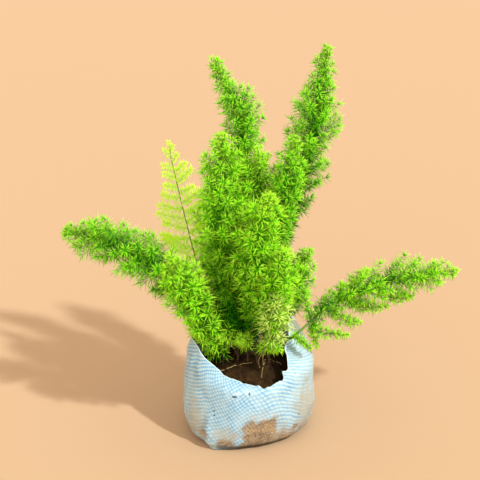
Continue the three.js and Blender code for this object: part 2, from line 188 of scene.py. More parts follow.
def bake_modifiers(piece):
    """Turns what the modifiers show into the piece's own plain mesh."""
    evaluated = piece.evaluated_get(bpy.context.evaluated_depsgraph_get())
    mesh = bpy.data.meshes.new_from_object(evaluated)
    mesh.name = piece.name
    if piece.type == "MESH":
        piece.modifiers.clear()
        piece.data = mesh
        return piece
    name = piece.name
    bpy.data.objects.remove(piece)
    return place_object(name, mesh)


def stands_for(piece, slot, *nodes):
    """Attaches a finished piece to the frame's root body, hides the solids it replaces and prints its
    triangles. Its slot is not used.
    """
    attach(piece, "root")
    if nodes:
        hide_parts(*nodes)
    triangles = sum(len(p.vertices) - 2 for p in piece.data.polygons)
    print(f"{piece.name}: {triangles} triangles")


def glide(a, b, c, d, t):
    """A Catmull-Rom step from b to c, where a comes before them and d after."""
    return b + 0.5 * t * (c - a + t * (2 * a - 5 * b + 4 * c - d + t * (3 * (b - c) + d - a)))


def around(values, angle):
    """A smooth closed curve through values that are given at equal steps round a circle."""
    n = len(values)
    place = angle / (2 * math.pi) * n
    i = math.floor(place)
    return glide(*(values[(i + k) % n] for k in (-1, 0, 1, 2)), place - i)


# %% [markdown]
# ## Finishes that several materials share
# Soil, roots and dirty cloth all need grain, and dirt sits in ragged patches. Each effect is one
# node group that puts out a mask or a height, and every material sets its own sizes.

# %% Shared groups: grain and patch
def make_grain_group():
    inputs = [("Vector", "Vector", None), ("Scale", "Float", 300.0), ("Contrast", "Float", 0.5)]
    group, given, result = open_group("grain", "ShaderNodeTree", inputs, [("Grain", "Float")])
    spots = add_node(
        group,
        "ShaderNodeTexNoise",
        {"Vector": given["Vector"], "Scale": given["Scale"], "Detail": 5.0, "Roughness": 0.65},
    )
    low = calculate(group, "MULTIPLY", given["Contrast"], 0.5)
    high = calculate(group, "SUBTRACT", 1.0, low)
    group.links.new(rescale(group, spots.outputs[0], low, high), result.inputs[0])
    return group


RAGGED_REACH = 4.0  # how far a ragged edge wanders, in patch sizes


def make_patch_group():
    inputs = [
        ("Vector", "Vector", None),
        ("Centre", "Vector", (0, 0, 0)),
        ("Size", "Vector", (0.02, 0.02, 0.02)),
        ("Softness", "Float", 0.3),
        ("Raggedness", "Float", 0.5),
        ("Squareness", "Float", 0.0),
    ]
    group, given, result = open_group("patch", "ShaderNodeTree", inputs, [("Mask", "Float")])
    wobble = add_node(
        group,
        "ShaderNodeTexNoise",
        {"Vector": given["Vector"], "Scale": 130.0, "Detail": 6.0, "Roughness": 0.7},
    ).outputs[0]
    shift = combine(group, "SUBTRACT", given["Vector"], given["Centre"])
    scaled = combine(group, "DIVIDE", shift, given["Size"])
    round_way = add_node(group, "ShaderNodeVectorMath", {0: scaled}, operation="LENGTH").outputs["Value"]
    sides = [calculate(group, "ABSOLUTE", side) for side in split(group, scaled)]
    square_way = calculate(group, "MAXIMUM", calculate(group, "MAXIMUM", sides[0], sides[1]), sides[2])
    away = add_node(group, "ShaderNodeMix", {0: given["Squareness"], 2: round_way, 3: square_way}).outputs[0]
    ragged = calculate(group, "MULTIPLY", calculate(group, "SUBTRACT", wobble, 0.5), given["Raggedness"])
    edge = calculate(group, "ADD", away, calculate(group, "MULTIPLY", ragged, RAGGED_REACH))
    inner = calculate(group, "SUBTRACT", 1.0, given["Softness"])
    mask = calculate(group, "SUBTRACT", 1.0, rescale(group, edge, inner, 1.0, smooth=True))
    group.links.new(mask, result.inputs[0])
    return group


GRAIN = make_grain_group()
PATCH = make_patch_group()


def use_group(tree, group, inputs):
    return add_node(tree, "ShaderNodeGroup", inputs, node_tree=group).outputs[0]


def new_material(name, roughness):
    material = bpy.data.materials.new(name)
    material.use_nodes = True
    shader = material.node_tree.nodes["Principled BSDF"]
    shader.inputs["Roughness"].default_value = roughness
    return material, material.node_tree, shader


def blend_colours(tree, mask, first, second):
    return add_node(tree, "ShaderNodeMix", {0: mask, 6: first, 7: second}, data_type="RGBA").outputs[2]


def bump(tree, height, distance):
    inputs = {"Height": height, "Distance": distance, "Strength": 1.0}
    return add_node(tree, "ShaderNodeBump", inputs).outputs[0]


# %% [markdown]
# ## The floor
# A plain, pale, warm floor. It isn't part of the object, so it is marked as stage.

# %% Floor
floor_paint, tree, shader = new_material("pale floor", 0.85)
shader.inputs["Base Color"].default_value = (0.36, 0.243, 0.144, 1)
FLOOR_SIZE = 8.0
FLOOR_DROP = 0.2 * MM  # keeps the floor just clear of the bag's flat base
half = FLOOR_SIZE / 2
corners = [(x * half, y * half, -FLOOR_DROP) for x, y in ((-1, -1), (1, -1), (1, 1), (-1, 1))]
floor = new_piece("floor", corners, [(0, 1, 2, 3)], smooth=False)
floor.data.materials.append(floor_paint)
floor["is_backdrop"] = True

# %% [markdown]
# ## The grow bag
# The bag is one thin sheet of woven cloth, slumped round the soil. Tables give its outline at equal
# steps round it, from the right through the back, the same tables that shape the solid, and a
# smooth curve runs through each. A cloth simulation could drape it, but the bag has to keep the
# solid's outline, so its creases and crumple are pushed into the sheet instead. Its mouth
# is left raw and torn, and Solidify gives it its thickness. The cloth's own map, in metres along
# and up the sheet, carries the weave, so the checks dip where the mouth is folded low.

# %% The bag's outline
RIM_HEIGHT = [
    98, 108, 113, 115, 114, 112, 112, 111, 110, 108, 106, 105,
    103, 101, 94, 86, 78, 74, 70, 69, 71, 78, 88, 93.5,
]
RIM_RADIUS = [
    40, 42, 49, 58, 59, 57, 56, 57, 58, 59, 60, 61,
    60, 57.5, 56, 52, 50, 49.5, 50, 53.5, 54, 52, 43.5, 38,
]
SHOULDER_RADIUS = [63, 62, 58, 57, 60, 61, 64.5, 61, 59, 57, 56, 60]
BELLY_RADIUS = [67, 66, 63, 61, 63, 66, 70.5, 70, 67, 61, 60, 64]
FOOT_RADIUS = [58, 56, 53, 51, 53, 56, 60, 66, 69, 58, 53, 55]
BELLY_HEIGHT = 27
TURN_HEIGHT = 8  # the wall turns up from the foot over this height
TURN_SHARE = 0.4  # how far out from foot to belly it is by then
SOIL_EDGE = 58
SHOULDER_SHARE = 0.62  # how far up from the soil to the rim the shoulder lies
FOOT_FLAT = 0.9  # the share of the foot's radius that lies flat


def bag_profile(angle):
    """Radii and heights up the bag's wall at one direction, from the foot to the rim."""
    foot, belly = around(FOOT_RADIUS, angle), around(BELLY_RADIUS, angle)
    shoulder, rim = around(SHOULDER_RADIUS, angle), around(RIM_RADIUS, angle)
    top = around(RIM_HEIGHT, angle)
    turn = foot + TURN_SHARE * (belly - foot)
    radii = [foot * FOOT_FLAT, turn, belly, (belly + shoulder) / 2, shoulder, rim]
    shoulder_height = SOIL_EDGE + SHOULDER_SHARE * (top - SOIL_EDGE)
    heights = [0, TURN_HEIGHT, BELLY_HEIGHT, SOIL_EDGE, shoulder_height, top]
    return radii, heights


def along(values, share):
    """A smooth curve through a list of values, read at a share from 0 to 1."""
    n = len(values) - 1
    place = min(max(share, 0), 1) * n
    i = min(int(place), n - 1)
    return glide(*(values[min(max(i + k, 0), n)] for k in (-1, 0, 1, 2)), place - i)


# %% Creases, crumple and tears
def bell(x, centre, width):
    """1 at the centre, falling smoothly to 0 about two widths away."""
    return math.exp(-(((x - centre) / width) ** 2))


def turn_from(angle, centre):
    """Degrees from one direction to another, between -180 and 180."""
    return (math.degrees(angle) - centre + 180) % 360 - 180


# direction, width in degrees, depth in mm (positive stands out), lowest and highest share up the wall
CREASES = [
    (236, 7, 5.0, -0.12, 0.14),
    (222, 9, -1.2, -0.05, 0.3),
    (214, 7, 2.2, 0.2, 1.0),
    (199, 3.5, 1.6, 0.3, 1.0),
    (193, 4, -2.0, 0.3, 0.85),
    (187, 5, -3.6, 0.3, 0.5),
    (226, 4, -1.8, 0.02, 0.5),
    (231, 3, 1.4, 0.02, 0.5),
    (240, 10, 1.0, 0.0, 0.4),
    (318, 9, 1.0, 0.0, 0.5),
    (305, 7, -0.9, 0.1, 0.5),
    (344, 8, 0.8, 0.5, 1.0),
    (30, 7, 1.2, 0.3, 1.0),
    (52, 5, -2.4, 0.2, 0.9),
    (75, 6, 2.0, 0.4, 1.0),
    (92, 4, -2.2, 0.5, 1.1),
    (112, 8, 2.4, 0.1, 0.8),
    (128, 5, -2.6, 0.25, 1.0),
    (150, 6, 1.8, 0.5, 1.1),
    (166, 5, -2.0, 0.1, 0.7),
]
# direction, width in degrees, depth in mm: where the raw edge of the mouth is torn
TEARS = [
    (285.5, 2.4, 2.6), (280, 1.4, -1.2), (292, 3.0, 0.8), (307, 1.8, 2.0), (313, 2.0, -1.2),
    (262, 2.5, 0.8), (238, 3.0, 0.7), (150, 3.0, 1.6), (96, 2.0, 2.0), (60, 3.0, 1.2),
]
# direction, width in degrees, reach in mm: flaps of torn cloth that lean in over the soil
FLAPS = [(313, 2.6, 5.5), (319, 2.2, -1.5), (300, 3.0, 1.2)]
CREASE_FADE = 0.75  # how softly a crease ends, as a share of half its height
# reach in mm: how far each ripple moves the cloth
CRUMPLE = 1.5
FINE_CRUMPLE = 0.55
SOFT_FOLD = 1.8
CALM_FRONT = 0.4  # the share of the soft folds that is left at the front
EDGE_HEIGHT = 0.5
EDGE_REACH = 0.8
EDGE_FROM = 0.9  # the raw edge starts at this share up the wall
EDGE_GROWTH = 10  # for each share of the wall, so that the edge is at its roughest at the rim
FOOT_GROWTH = 6  # the crumple grows from the foot, and is full a sixth of the way up
FOLDS_FROM = -0.3  # where the soft folds start to grow, from -1 at the front to 1 at the back
# each ripple: how fine it is round the bag, its height in mm, and where it is read in the noise
CRUMPLE_RIPPLE = (3.2, 26, 0, 0)
FINE_RIPPLE = (9, 9, 3, 7)
FOLD_RIPPLE = (2.6, 34, 8, 4)
EDGE_HEIGHT_RIPPLE = (22, 5)
EDGE_REACH_RIPPLE = (8, 9)


def ripple(x, y, waves, z, shift=0):
    """Smooth noise round the bag, between about -1 and 1."""
    return noise.noise(Vector((x * waves + shift, y * waves, z)))


def wall_ripple(x, y, height, waves, tall, up, aside):
    return ripple(x, y, waves, height / tall + up, aside)


def bag_skin(angle, share):
    """A point on the bag's outside, in millimetres: share runs from the foot to the rim."""
    radii, heights = bag_profile(angle)
    radius, height = along(radii, share), along(heights, share)
    for centre, width, depth, low, high in CREASES:
        middle, half = (low + high) / 2, (high - low) / 2
        fade = bell(share, middle, CREASE_FADE * half)
        radius += depth * bell(turn_from(angle, centre), 0, width) * fade
    x, y = math.cos(angle), math.sin(angle)
    crumple = wall_ripple(x, y, height, *CRUMPLE_RIPPLE)
    fine = wall_ripple(x, y, height, *FINE_RIPPLE)
    fold = 0.5 - abs(wall_ripple(x, y, height, *FOLD_RIPPLE)) * 2
    behind = CALM_FRONT + (1 - CALM_FRONT) * min(max(y - FOLDS_FROM, 0), 1)
    risen = min(1, share * FOOT_GROWTH)
    radius += (CRUMPLE * crumple + FINE_CRUMPLE * fine + SOFT_FOLD * fold * behind) * risen
    edge = max(0, share - EDGE_FROM) * EDGE_GROWTH
    for centre, width, depth in TEARS:
        height -= depth * bell(turn_from(angle, centre), 0, width) * edge
    for centre, width, reach in FLAPS:
        radius -= reach * bell(turn_from(angle, centre), 0, width) * edge * edge
    height += EDGE_HEIGHT * ripple(x, y, *EDGE_HEIGHT_RIPPLE) * edge
    radius += EDGE_REACH * ripple(x, y, *EDGE_REACH_RIPPLE) * edge
    return Vector((radius * x, radius * y, max(height, 0)))


# %% The bag's sheet
BAG_COLUMNS = 300
BAG_ROWS = 72
CLOTH = 0.5  # mm, the bag's thickness

points, faces = [], []
for row in range(BAG_ROWS + 1):
    share = row / BAG_ROWS
    for column in range(BAG_COLUMNS):
        angle = 2 * math.pi * column / BAG_COLUMNS
        points.append(bag_skin(angle, share) * MM)
BASE_RINGS = (0.97, 0.7, 0.35)
ring_start = [row * BAG_COLUMNS for row in range(BAG_ROWS + 1)]
base_start = []
for inward in BASE_RINGS:
    base_start.append(len(points))
    points += [Vector((p.x * inward, p.y * inward, 0)) for p in points[:BAG_COLUMNS]]
points.append(Vector((0, 0, 0)))
centre = len(points) - 1
rings = base_start[::-1] + ring_start
for low, high in zip(rings, rings[1:]):
    faces += band(low, high, BAG_COLUMNS)
faces += [(centre, rings[0] + (i + 1) % BAG_COLUMNS, rings[0] + i) for i in range(BAG_COLUMNS)]
bag = new_piece("grow_bag_cloth", points, faces)

CLOTH_WIDTH = 400  # mm round the bag's belly
# the cloth is skewed at the front: how far its rows have climbed there, in mm, and how far its
# columns lean to the side for each millimetre up
CLOTH_LIFT = [25, 20, 15, 10, 5, 2, 0, 11, 20, 42, 48, 37]
CLOTH_LEAN = [0, 0, 0, 0, 0, 0, 0, 0.3, 0.75, 0.7, 0.3, 0]
LEAN_FROM = 35  # mm up the wall


def cloth_place(angle, length):
    """Where a point lies on the cloth, in metres along and up it, from its length up the wall."""
    lean = around(CLOTH_LEAN, angle) * (length - LEAN_FROM)
    across = angle / (2 * math.pi) * CLOTH_WIDTH + lean
    return across * MM, (length - around(CLOTH_LIFT, angle)) * MM


lengths = [0.0] * BAG_COLUMNS
for row in range(1, BAG_ROWS + 1):
    for i in range((row - 1) * BAG_COLUMNS, row * BAG_COLUMNS):
        lengths.append(lengths[i] + (points[i + BAG_COLUMNS] - points[i]).length / MM)

layer = bag.data.uv_layers.new(name="cloth")
for polygon in bag.data.polygons:
    angles = [math.atan2(points[v].y, points[v].x) % (2 * math.pi) for v in polygon.vertices]
    if max(angles) - min(angles) > math.pi:
        angles = [a + 2 * math.pi if a < math.pi else a for a in angles]
    for loop, v, a in zip(polygon.loop_indices, polygon.vertices, angles):
        if v < len(lengths):
            spot = cloth_place(a, lengths[v])
        else:
            away = math.hypot(points[v].x, points[v].y)
            spot = cloth_place(a, away / MM - FOOT_RADIUS[0])
        layer.data[loop].uv = spot

raw_edge = bag.data.attributes.new("raw_edge", "FLOAT", "POINT")
to_rim = [i // BAG_COLUMNS / BAG_ROWS if i < len(lengths) else 0.0 for i in range(len(points))]
raw_edge.data.foreach_set("value", to_rim)

thick = bag.modifiers.new("thickness", "SOLIDIFY")
thick.thickness = CLOTH * MM
thick.offset = -1
bag = bake_modifiers(bag)


# %% [markdown]
# ## Woven cloth
# The cloth is woven from flat plastic tapes. In the middle, blue tapes run both ways and make a
# net round small white dots. At the sides the upright tapes have faded, so that level stripes are
# left. A texture image could carry this, but two waves along the cloth's own map give it at any
# distance. Soil has stained the cloth: a brown patch low at the front, smears beside it, and dust.

# %% Cloth material
CHECK = 4.1 * MM  # from one blue tape to the next


WAVE_EDGE = 0.35  # a tape's colour is full where its wave passes this height
CROSSED = -0.3  # taken off where blue crosses blue, so that the net is almost even in tone
COLUMN_BLUE = 0.46  # how blue the upright tapes are
LEVEL_BLUE = (0.62, 0.48)  # how blue the level tapes are, where the upright ones are faded or whole


def make_weave_group():
    inputs = [("Cloth", "Vector", None), ("Pitch", "Float", CHECK), ("Columns", "Float", 1.0)]
    outputs = [("Blue", "Float"), ("Tapes", "Float")]
    group, given, result = open_group("tape weave", "ShaderNodeTree", inputs, outputs)
    parts = split(group, given["Cloth"])
    turn = calculate(group, "DIVIDE", 2 * math.pi, given["Pitch"])
    fine = calculate(group, "MULTIPLY", turn, 2.0)
    waves, ridges = [], []
    for part in (parts[0], parts[1]):
        phase = calculate(group, "MULTIPLY", part, turn)
        waves.append(rescale(group, calculate(group, "SINE", phase), -WAVE_EDGE, WAVE_EDGE))
        ridge = calculate(group, "SINE", calculate(group, "MULTIPLY", part, fine))
        ridges.append(calculate(group, "ABSOLUTE", ridge))
    both = calculate(group, "MULTIPLY", waves[0], waves[1])
    columns = calculate(group, "MULTIPLY", waves[0], COLUMN_BLUE)
    columns = calculate(group, "MULTIPLY_ADD", both, CROSSED, columns)
    columns = calculate(group, "MULTIPLY", columns, given["Columns"])
    level_blue = rescale(group, given["Columns"], 0, 1, *LEVEL_BLUE)
    rows = calculate(group, "MULTIPLY", waves[1], level_blue)
    blue = calculate(group, "ADD", rows, columns)
    group.links.new(blue, result.inputs["Blue"])
    group.links.new(calculate(group, "MULTIPLY", ridges[0], ridges[1]), result.inputs["Tapes"])
    return group


WHITE_TAPE = (0.345, 0.46, 0.48, 1)
BLUE_TAPE = (0.04, 0.215, 0.41, 1)
STAIN_DARK = (0.1, 0.055, 0.018, 1)
STAIN_LIGHT = (0.3, 0.2, 0.09, 1)
PALE_STAIN = (0.34, 0.24, 0.14, 1)
DRY_DUST = (0.28, 0.25, 0.175, 1)
FRAYED = (0.6, 0.75, 0.76, 1)
RAW_EDGE = (0.975, 0.99)  # shares up the wall between which the cloth turns pale at its raw edge
# painted shade: the dark seen in the slits, which are painted on the cloth, not cut
SHADED_HOLE = (0.02, 0.05, 0.08, 1)
# soil at the foot, and painted contact shadow where the cloth meets the floor
MUD_AND_SHADOW = (0.02, 0.01, 0.003, 1)
MUD_AND_SHADOW_HEIGHTS = (5.0 * MM, 8.0 * MM)  # heights: a dark band of mud and painted contact shadow up to the first, and clean from the second
MUD_AND_SHADOW_LEFT = (-40 * MM, -10 * MM)  # to the right: the mud and painted contact shadow are thinner up to the first, and full from the second
LOOSENESS = 5  # mm, how far the tapes wander
FADE = 0.3  # how much of the upright tapes' blue is left at the sides
FADE_LEFT = (-52 * MM, -36 * MM)  # to the right
FADE_RIGHT = (8 * MM, 40 * MM)
FRAY_PALENESS = 0.45
STAIN_WEAVE = -0.35  # how much darker a stain is on a blue tape
STAIN_CLOUDS = 0.6  # how much broad clouds lighten a stain
STAIN_SPECKS = 0.65  # how much fine grain does
BLUE_WEAR = (0.7, 0.65)  # how much the blue varies with wear, and its least strength
FADED_BLUE = 0.45  # the share of the blue that is left in a faded patch
# how much each kind of dirt, and the mud with its painted contact shadow, hides, from where its grain is
# thinnest to where it is thickest
DUST_COVER = (0.45, 0.95)
SMEAR_COVER = (0.2, 0.95)
STAIN_COVER = (0.8, 1.0)
MUD_AND_SHADOW_COVER = (0.75, 1.0)
MUD_AND_SHADOW_DEPTH = 0.95  # how much the mud and painted contact shadow hide at the foot
THIN_MUD_AND_SHADOW = 0.6  # the share of it that is left where it is thinner
EDGE_PALENESS = 0.7
CLOTH_ROUGHNESS = (0.5, 0.85)  # clean, and stained
TAPE_RELIEF = 0.15 * MM
# centre, size (mm), softness, raggedness, squareness: how far each patch of dirt, painted light or painted
# shade reaches
STAINS = [
    ((9.5, -60, 15), (19, 40, 22), 0.3, 0.22, 0.9),
    ((21, -60, 25), (8, 40, 13), 0.4, 0.3, 0.7),
    ((35, -50, 5), (28, 40, 15), 0.8, 0.7, 0.4),
    ((-4, -60, 7), (12, 40, 8), 0.7, 0.5, 0.5),
    ((-25, -58, 9), (16, 30, 8), 0.9, 0.6, 0.0),
    ((-45, -46, 15), (13, 20, 8), 0.9, 0.5, 0.0),
    ((46, -40, 19), (4, 30, 5), 0.7, 0.5, 0.0),
]
PALE_STAINS = [
    ((31, -50, 10), (22, 40, 14), 0.6, 0.6, 0.3),
    ((14, -60, 22), (29, 40, 26), 0.9, 0.6, 0.4),
    ((58, -30, 14), (12, 34, 14), 0.9, 0.6, 0.0),
]
DUST = [
    ((58, -30, 36), (20, 40, 36), 0.7, 0.6, 0.0),
    ((-55, -38, 24), (15, 34, 34), 0.8, 0.5, 0.0),
    ((-22, -56, 16), (26, 30, 18), 0.9, 0.5, 0.0),
    ((0, 60, 10), (60, 30, 24), 0.9, 0.6, 0.0),
    ((-60, 10, 14), (20, 40, 34), 0.9, 0.6, 0.0),
    ((60, 20, 14), (20, 40, 34), 0.9, 0.6, 0.0),
]
FADED = [((66, -10, 62), (34, 60, 60), 0.7, 0.4, 0.0), ((-62, -10, 30), (22, 50, 44), 0.7, 0.4, 0.0)]
# a paler corner at the foot, and painted light on the highest part of the mouth, which lies in the plumes'
# shadow
PALE_CORNER_AND_LIT_MOUTH = [((-41, -52, 3), (11, 24, 10), 0.8, 0.4, 0.2), ((56, 4, 108), (26, 60, 24), 0.6, 0.2, 0.0)]
PALE_AND_LIT_CLOTH = (0.46, 0.6, 0.6, 1)
# painted shade: a blue-grey dimple low on the left, where the cloth dents in
DENT_SHADE = [((-62, -24, 32), (5, 9, 8), 0.8, 0.15, 0.2)]
FRAYS = [((-12, -58, 64.5), (5, 20, 1.8), 0.9, 0.3, 0.0), ((-2.5, -58, 65), (1.3, 20, 3.0), 0.9, 0.1, 0.0)]
# slits in the cloth, painted in the dark of the shade inside them
SLITS = [((-15.5, -58, 61.2), (3.2, 20, 1.2), 0.3, 0.0, 0.0)]
SMALL_SLITS = [  # centre, width and height in mm
    ((-0.5, -58, 63.6), 1.2, 1.8), ((-36, -52, 43), 1.1, 1.1), ((-36, -52, 38), 1.0, 1.2),
    ((21, -45, 18), 0.9, 0.9), ((24, -45, 26), 0.8, 0.8), ((50, -40, 32), 0.8, 0.8),
]
SLITS += [(centre, (width, 20, height), 0.4, 0.0, 0.0) for centre, width, height in SMALL_SLITS]

cloth_finish, tree, shader = new_material("woven cloth", 0.5)
cloth = add_node(tree, "ShaderNodeUVMap", uv_map="cloth").outputs[0]
place = add_node(tree, "ShaderNodeTexCoord").outputs["Object"]
drift = add_node(tree, "ShaderNodeTexNoise", {"Vector": place, "Scale": 70.0, "Detail": 3.0}).outputs["Color"]
drift = combine(tree, "SUBTRACT", drift, (0.5, 0.5, 0.5))
by = {0: drift, "Scale": LOOSENESS * MM}
drift = add_node(tree, "ShaderNodeVectorMath", by, operation="SCALE").outputs[0]
to_right = split(tree, place)["X"]
left_fade = rescale(tree, to_right, *FADE_LEFT, FADE, 1.0, smooth=True)
right_fade = rescale(tree, to_right, *FADE_RIGHT, 1.0, FADE, smooth=True)
tapes = {
    "Cloth": combine(tree, "ADD", cloth, drift),
    "Columns": calculate(tree, "MULTIPLY", left_fade, right_fade),
}
weave = add_node(tree, "ShaderNodeGroup", tapes, node_tree=make_weave_group())


def patches(tree, place, shapes):
    """One mask for several patches of dirt, painted light or painted shade."""
    mask = 0.0
    for centre, size, *edges in shapes:
        inputs = {"Vector": place, "Centre": Vector(centre) * MM, "Size": Vector(size) * MM}
        inputs.update(zip(("Softness", "Raggedness", "Squareness"), edges))
        mask = calculate(tree, "MAXIMUM", use_group(tree, PATCH, inputs), mask)
    return mask


worn = use_group(tree, GRAIN, {"Vector": place, "Scale": 70.0, "Contrast": 0.75})
faded = rescale(tree, patches(tree, place, FADED), 0, 1, 1.0, FADED_BLUE)
strength = calculate(tree, "MULTIPLY", calculate(tree, "MULTIPLY_ADD", worn, *BLUE_WEAR), faded)
blue = calculate(tree, "MINIMUM", calculate(tree, "MULTIPLY", weave.outputs["Blue"], strength), 1.0)
colour = blend_colours(tree, blue, WHITE_TAPE, BLUE_TAPE)
dust_grain = use_group(tree, GRAIN, {"Vector": place, "Scale": 260.0, "Contrast": 0.6})
dust = calculate(tree, "MULTIPLY", patches(tree, place, DUST), rescale(tree, dust_grain, 0, 1, *DUST_COVER))
colour = blend_colours(tree, dust, colour, DRY_DUST)
stain_grain = use_group(tree, GRAIN, {"Vector": place, "Scale": 600.0, "Contrast": 0.8})
stain_cloud = use_group(tree, GRAIN, {"Vector": place, "Scale": 75.0, "Contrast": 0.8})
specks = calculate(tree, "MULTIPLY", stain_grain, STAIN_SPECKS)
stain_tone = calculate(tree, "MULTIPLY_ADD", stain_cloud, STAIN_CLOUDS, specks)
stain_tone = calculate(tree, "MULTIPLY_ADD", weave.outputs["Blue"], STAIN_WEAVE, stain_tone)
stain = blend_colours(tree, calculate(tree, "MAXIMUM", stain_tone, 0.0), STAIN_DARK, STAIN_LIGHT)
smear_grain = rescale(tree, dust_grain, 0, 1, *SMEAR_COVER)
smear = calculate(tree, "MULTIPLY", patches(tree, place, PALE_STAINS), smear_grain)
colour = blend_colours(tree, smear, colour, PALE_STAIN)
soil_grain = rescale(tree, dust_grain, 0, 1, *STAIN_COVER)
soiled = calculate(tree, "MULTIPLY", patches(tree, place, STAINS), soil_grain)
colour = blend_colours(tree, soiled, colour, stain)
for shapes, share, paint in (
    (PALE_CORNER_AND_LIT_MOUTH, 1.0, PALE_AND_LIT_CLOTH),
    (DENT_SHADE, 1.0, BLUE_TAPE),
    (FRAYS, FRAY_PALENESS, FRAYED),
    (SLITS, 1.0, SHADED_HOLE),
):
    mask = calculate(tree, "MULTIPLY", patches(tree, place, shapes), share)
    colour = blend_colours(tree, mask, colour, paint)
to_rim = add_node(tree, "ShaderNodeAttribute", attribute_name="raw_edge").outputs["Fac"]
colour = blend_colours(tree, rescale(tree, to_rim, *RAW_EDGE, 0.0, EDGE_PALENESS), colour, FRAYED)
# a dark band at the foot: partly soil, partly painted contact shadow under the bag's rounded bottom
foot_mud_and_shadow = rescale(tree, split(tree, place)["Z"], *MUD_AND_SHADOW_HEIGHTS, MUD_AND_SHADOW_DEPTH, 0.0)
thinner = rescale(tree, to_right, *MUD_AND_SHADOW_LEFT, THIN_MUD_AND_SHADOW, 1.0)
foot_mud_and_shadow = calculate(tree, "MULTIPLY", foot_mud_and_shadow, thinner)
foot_mud_and_shadow = calculate(tree, "MULTIPLY", foot_mud_and_shadow, rescale(tree, dust_grain, 0, 1, *MUD_AND_SHADOW_COVER))
colour = blend_colours(tree, foot_mud_and_shadow, colour, MUD_AND_SHADOW)
tree.links.new(colour, shader.inputs["Base Color"])
tree.links.new(rescale(tree, soiled, 0, 1, *CLOTH_ROUGHNESS), shader.inputs["Roughness"])
tree.links.new(bump(tree, weave.outputs["Tapes"], TAPE_RELIEF), shader.inputs["Normal"])
bag.data.materials.append(cloth_finish)
stands_for(bag, "woven_bag", "grow_bag")

# %% [markdown]
# ## The soil
# The soil is a crumbly mound, highest where the stems come up. It could be sculpted, but noise at
# three sizes, added to rings of points, breaks it into clods, lumps and grit by a rule that can be
# changed later. Crumbs are then scattered over it.

# %% Soil mound
SOIL_CROWN = Vector((0, 12))
SOIL_CROWN_HEIGHT = 74
SOIL_REACH = 62
WALL_GAP = 1.6  # mm from the bag's outside to the soil
LUMPS = [(13, 3.0, 1), (4.5, 1.8, 4), (1.7, 0.9, 8)]  # size and height in mm, and which noise
SETTLED = 0.8  # mm, so that the lumps lie about the mound's height
SOIL_SHARE = 0.6  # the share up the bag's wall where the soil's edge lies
CALM_MIDDLE = 8  # the lumps fade out over the middle eighth


def soil_height(x, y):
    away = math.hypot(x - SOIL_CROWN.x, y - SOIL_CROWN.y) / SOIL_REACH
    return SOIL_EDGE + (SOIL_CROWN_HEIGHT - SOIL_EDGE) * max(0, 1 - away * away)


def soil_surface(angle, share):
    """A point of the soil's top: share runs from its edge at the cloth to the middle."""
    edge = bag_skin(angle, SOIL_SHARE)
    reach = (math.hypot(edge.x, edge.y) - WALL_GAP) * (1 - share)
    x, y = reach * math.cos(angle), reach * math.sin(angle)
    clods, lumps, grit = (noise.noise(Vector((x / size, y / size, z))) * rise for size, rise, z in LUMPS)
    calm = min(1, (1 - share) * CALM_MIDDLE)
    return Vector((x, y, soil_height(x, y) + (clods + lumps + abs(grit)) * calm - SETTLED))


SOIL_COLUMNS = 180
SOIL_ROWS = 60
points = [
    soil_surface(2 * math.pi * c / SOIL_COLUMNS, r / SOIL_ROWS) * MM
    for r in range(SOIL_ROWS)
    for c in range(SOIL_COLUMNS)
]
points.append(Vector((0, 0, soil_height(0, 0) * MM)))
side_start = len(points)
SOIL_SIDES = (0.45, 0.3, 0.12, 0.02)
for share in SOIL_SIDES:
    for c in range(SOIL_COLUMNS):
        p = bag_skin(2 * math.pi * c / SOIL_COLUMNS, share)
        inward = 1 - WALL_GAP / math.hypot(p.x, p.y)
        points.append(Vector((p.x * inward, p.y * inward, max(p.z, WALL_GAP))) * MM)
points.append(Vector((0, 0, WALL_GAP * MM)))
starts = [side_start + k * SOIL_COLUMNS for k in range(len(SOIL_SIDES))][::-1]
starts += [r * SOIL_COLUMNS for r in range(SOIL_ROWS)]
faces = []
for low, high in zip(starts, starts[1:]):
    faces += band(low, high, SOIL_COLUMNS)
for i in range(SOIL_COLUMNS):
    j = (i + 1) % SOIL_COLUMNS
    faces.append((starts[-1] + i, starts[-1] + j, side_start - 1))
    faces.append((starts[0] + j, starts[0] + i, len(points) - 1))
soil = new_piece("soil_mound", points, faces)
inland = soil.data.attributes.new("inland", "FLOAT", "POINT")
on_top = [min(i // SOIL_COLUMNS, SOIL_ROWS) / SOIL_ROWS for i in range(side_start)]
inland.data.foreach_set("value", on_top + [0.0] * (len(points) - side_start))


# %% Soil material
SOIL_SHADE = [((30, -20, 70), (24, 30, 30), 0.9, 0.4, 0.0)]  # painted shade: where the soil is darker, to the right of the mound


def soil_material(name, dark, light):
    material, tree, shader = new_material(name, 0.95)
    shader.inputs["Specular IOR Level"].default_value = 0.15
    place = add_node(tree, "ShaderNodeTexCoord").outputs["Object"]
    large = use_group(tree, GRAIN, {"Vector": place, "Scale": 120.0, "Contrast": 0.6})
    fine = use_group(tree, GRAIN, {"Vector": place, "Scale": 900.0, "Contrast": 0.5})
    tone = calculate(tree, "MULTIPLY", large, fine)
    # painted shade darkens the soil to the right
    soil_shade_mask = patches(tree, place, SOIL_SHADE)
    tone = calculate(tree, "MULTIPLY", tone, rescale(tree, soil_shade_mask, 0, 1, 1.0, 0.3))
    tree.links.new(blend_colours(tree, tone, dark, light), shader.inputs["Base Color"])
    tree.links.new(bump(tree, fine, 0.5 * MM), shader.inputs["Normal"])
    return material


soil_finish = soil_material("potting soil", (0.008, 0.0035, 0.0008, 1), (0.09, 0.042, 0.009, 1))
soil.data.materials.append(soil_finish)


# %% [markdown]
# ## Crumbs on the soil
# The crumbs are small, rough stones of soil. Geometry Nodes scatters them over the mound with a
# fixed seed, each with its own size and turn, and makes them real at the end.

# %% Crumb scatter
EDGE_CLEAR = 0.08  # no crumbs on this share of the mound, next to the cloth
LEVEL_ENOUGH = 0.4  # how far up a face has to look to hold a crumb
FULL_TURN = 6.28  # radians


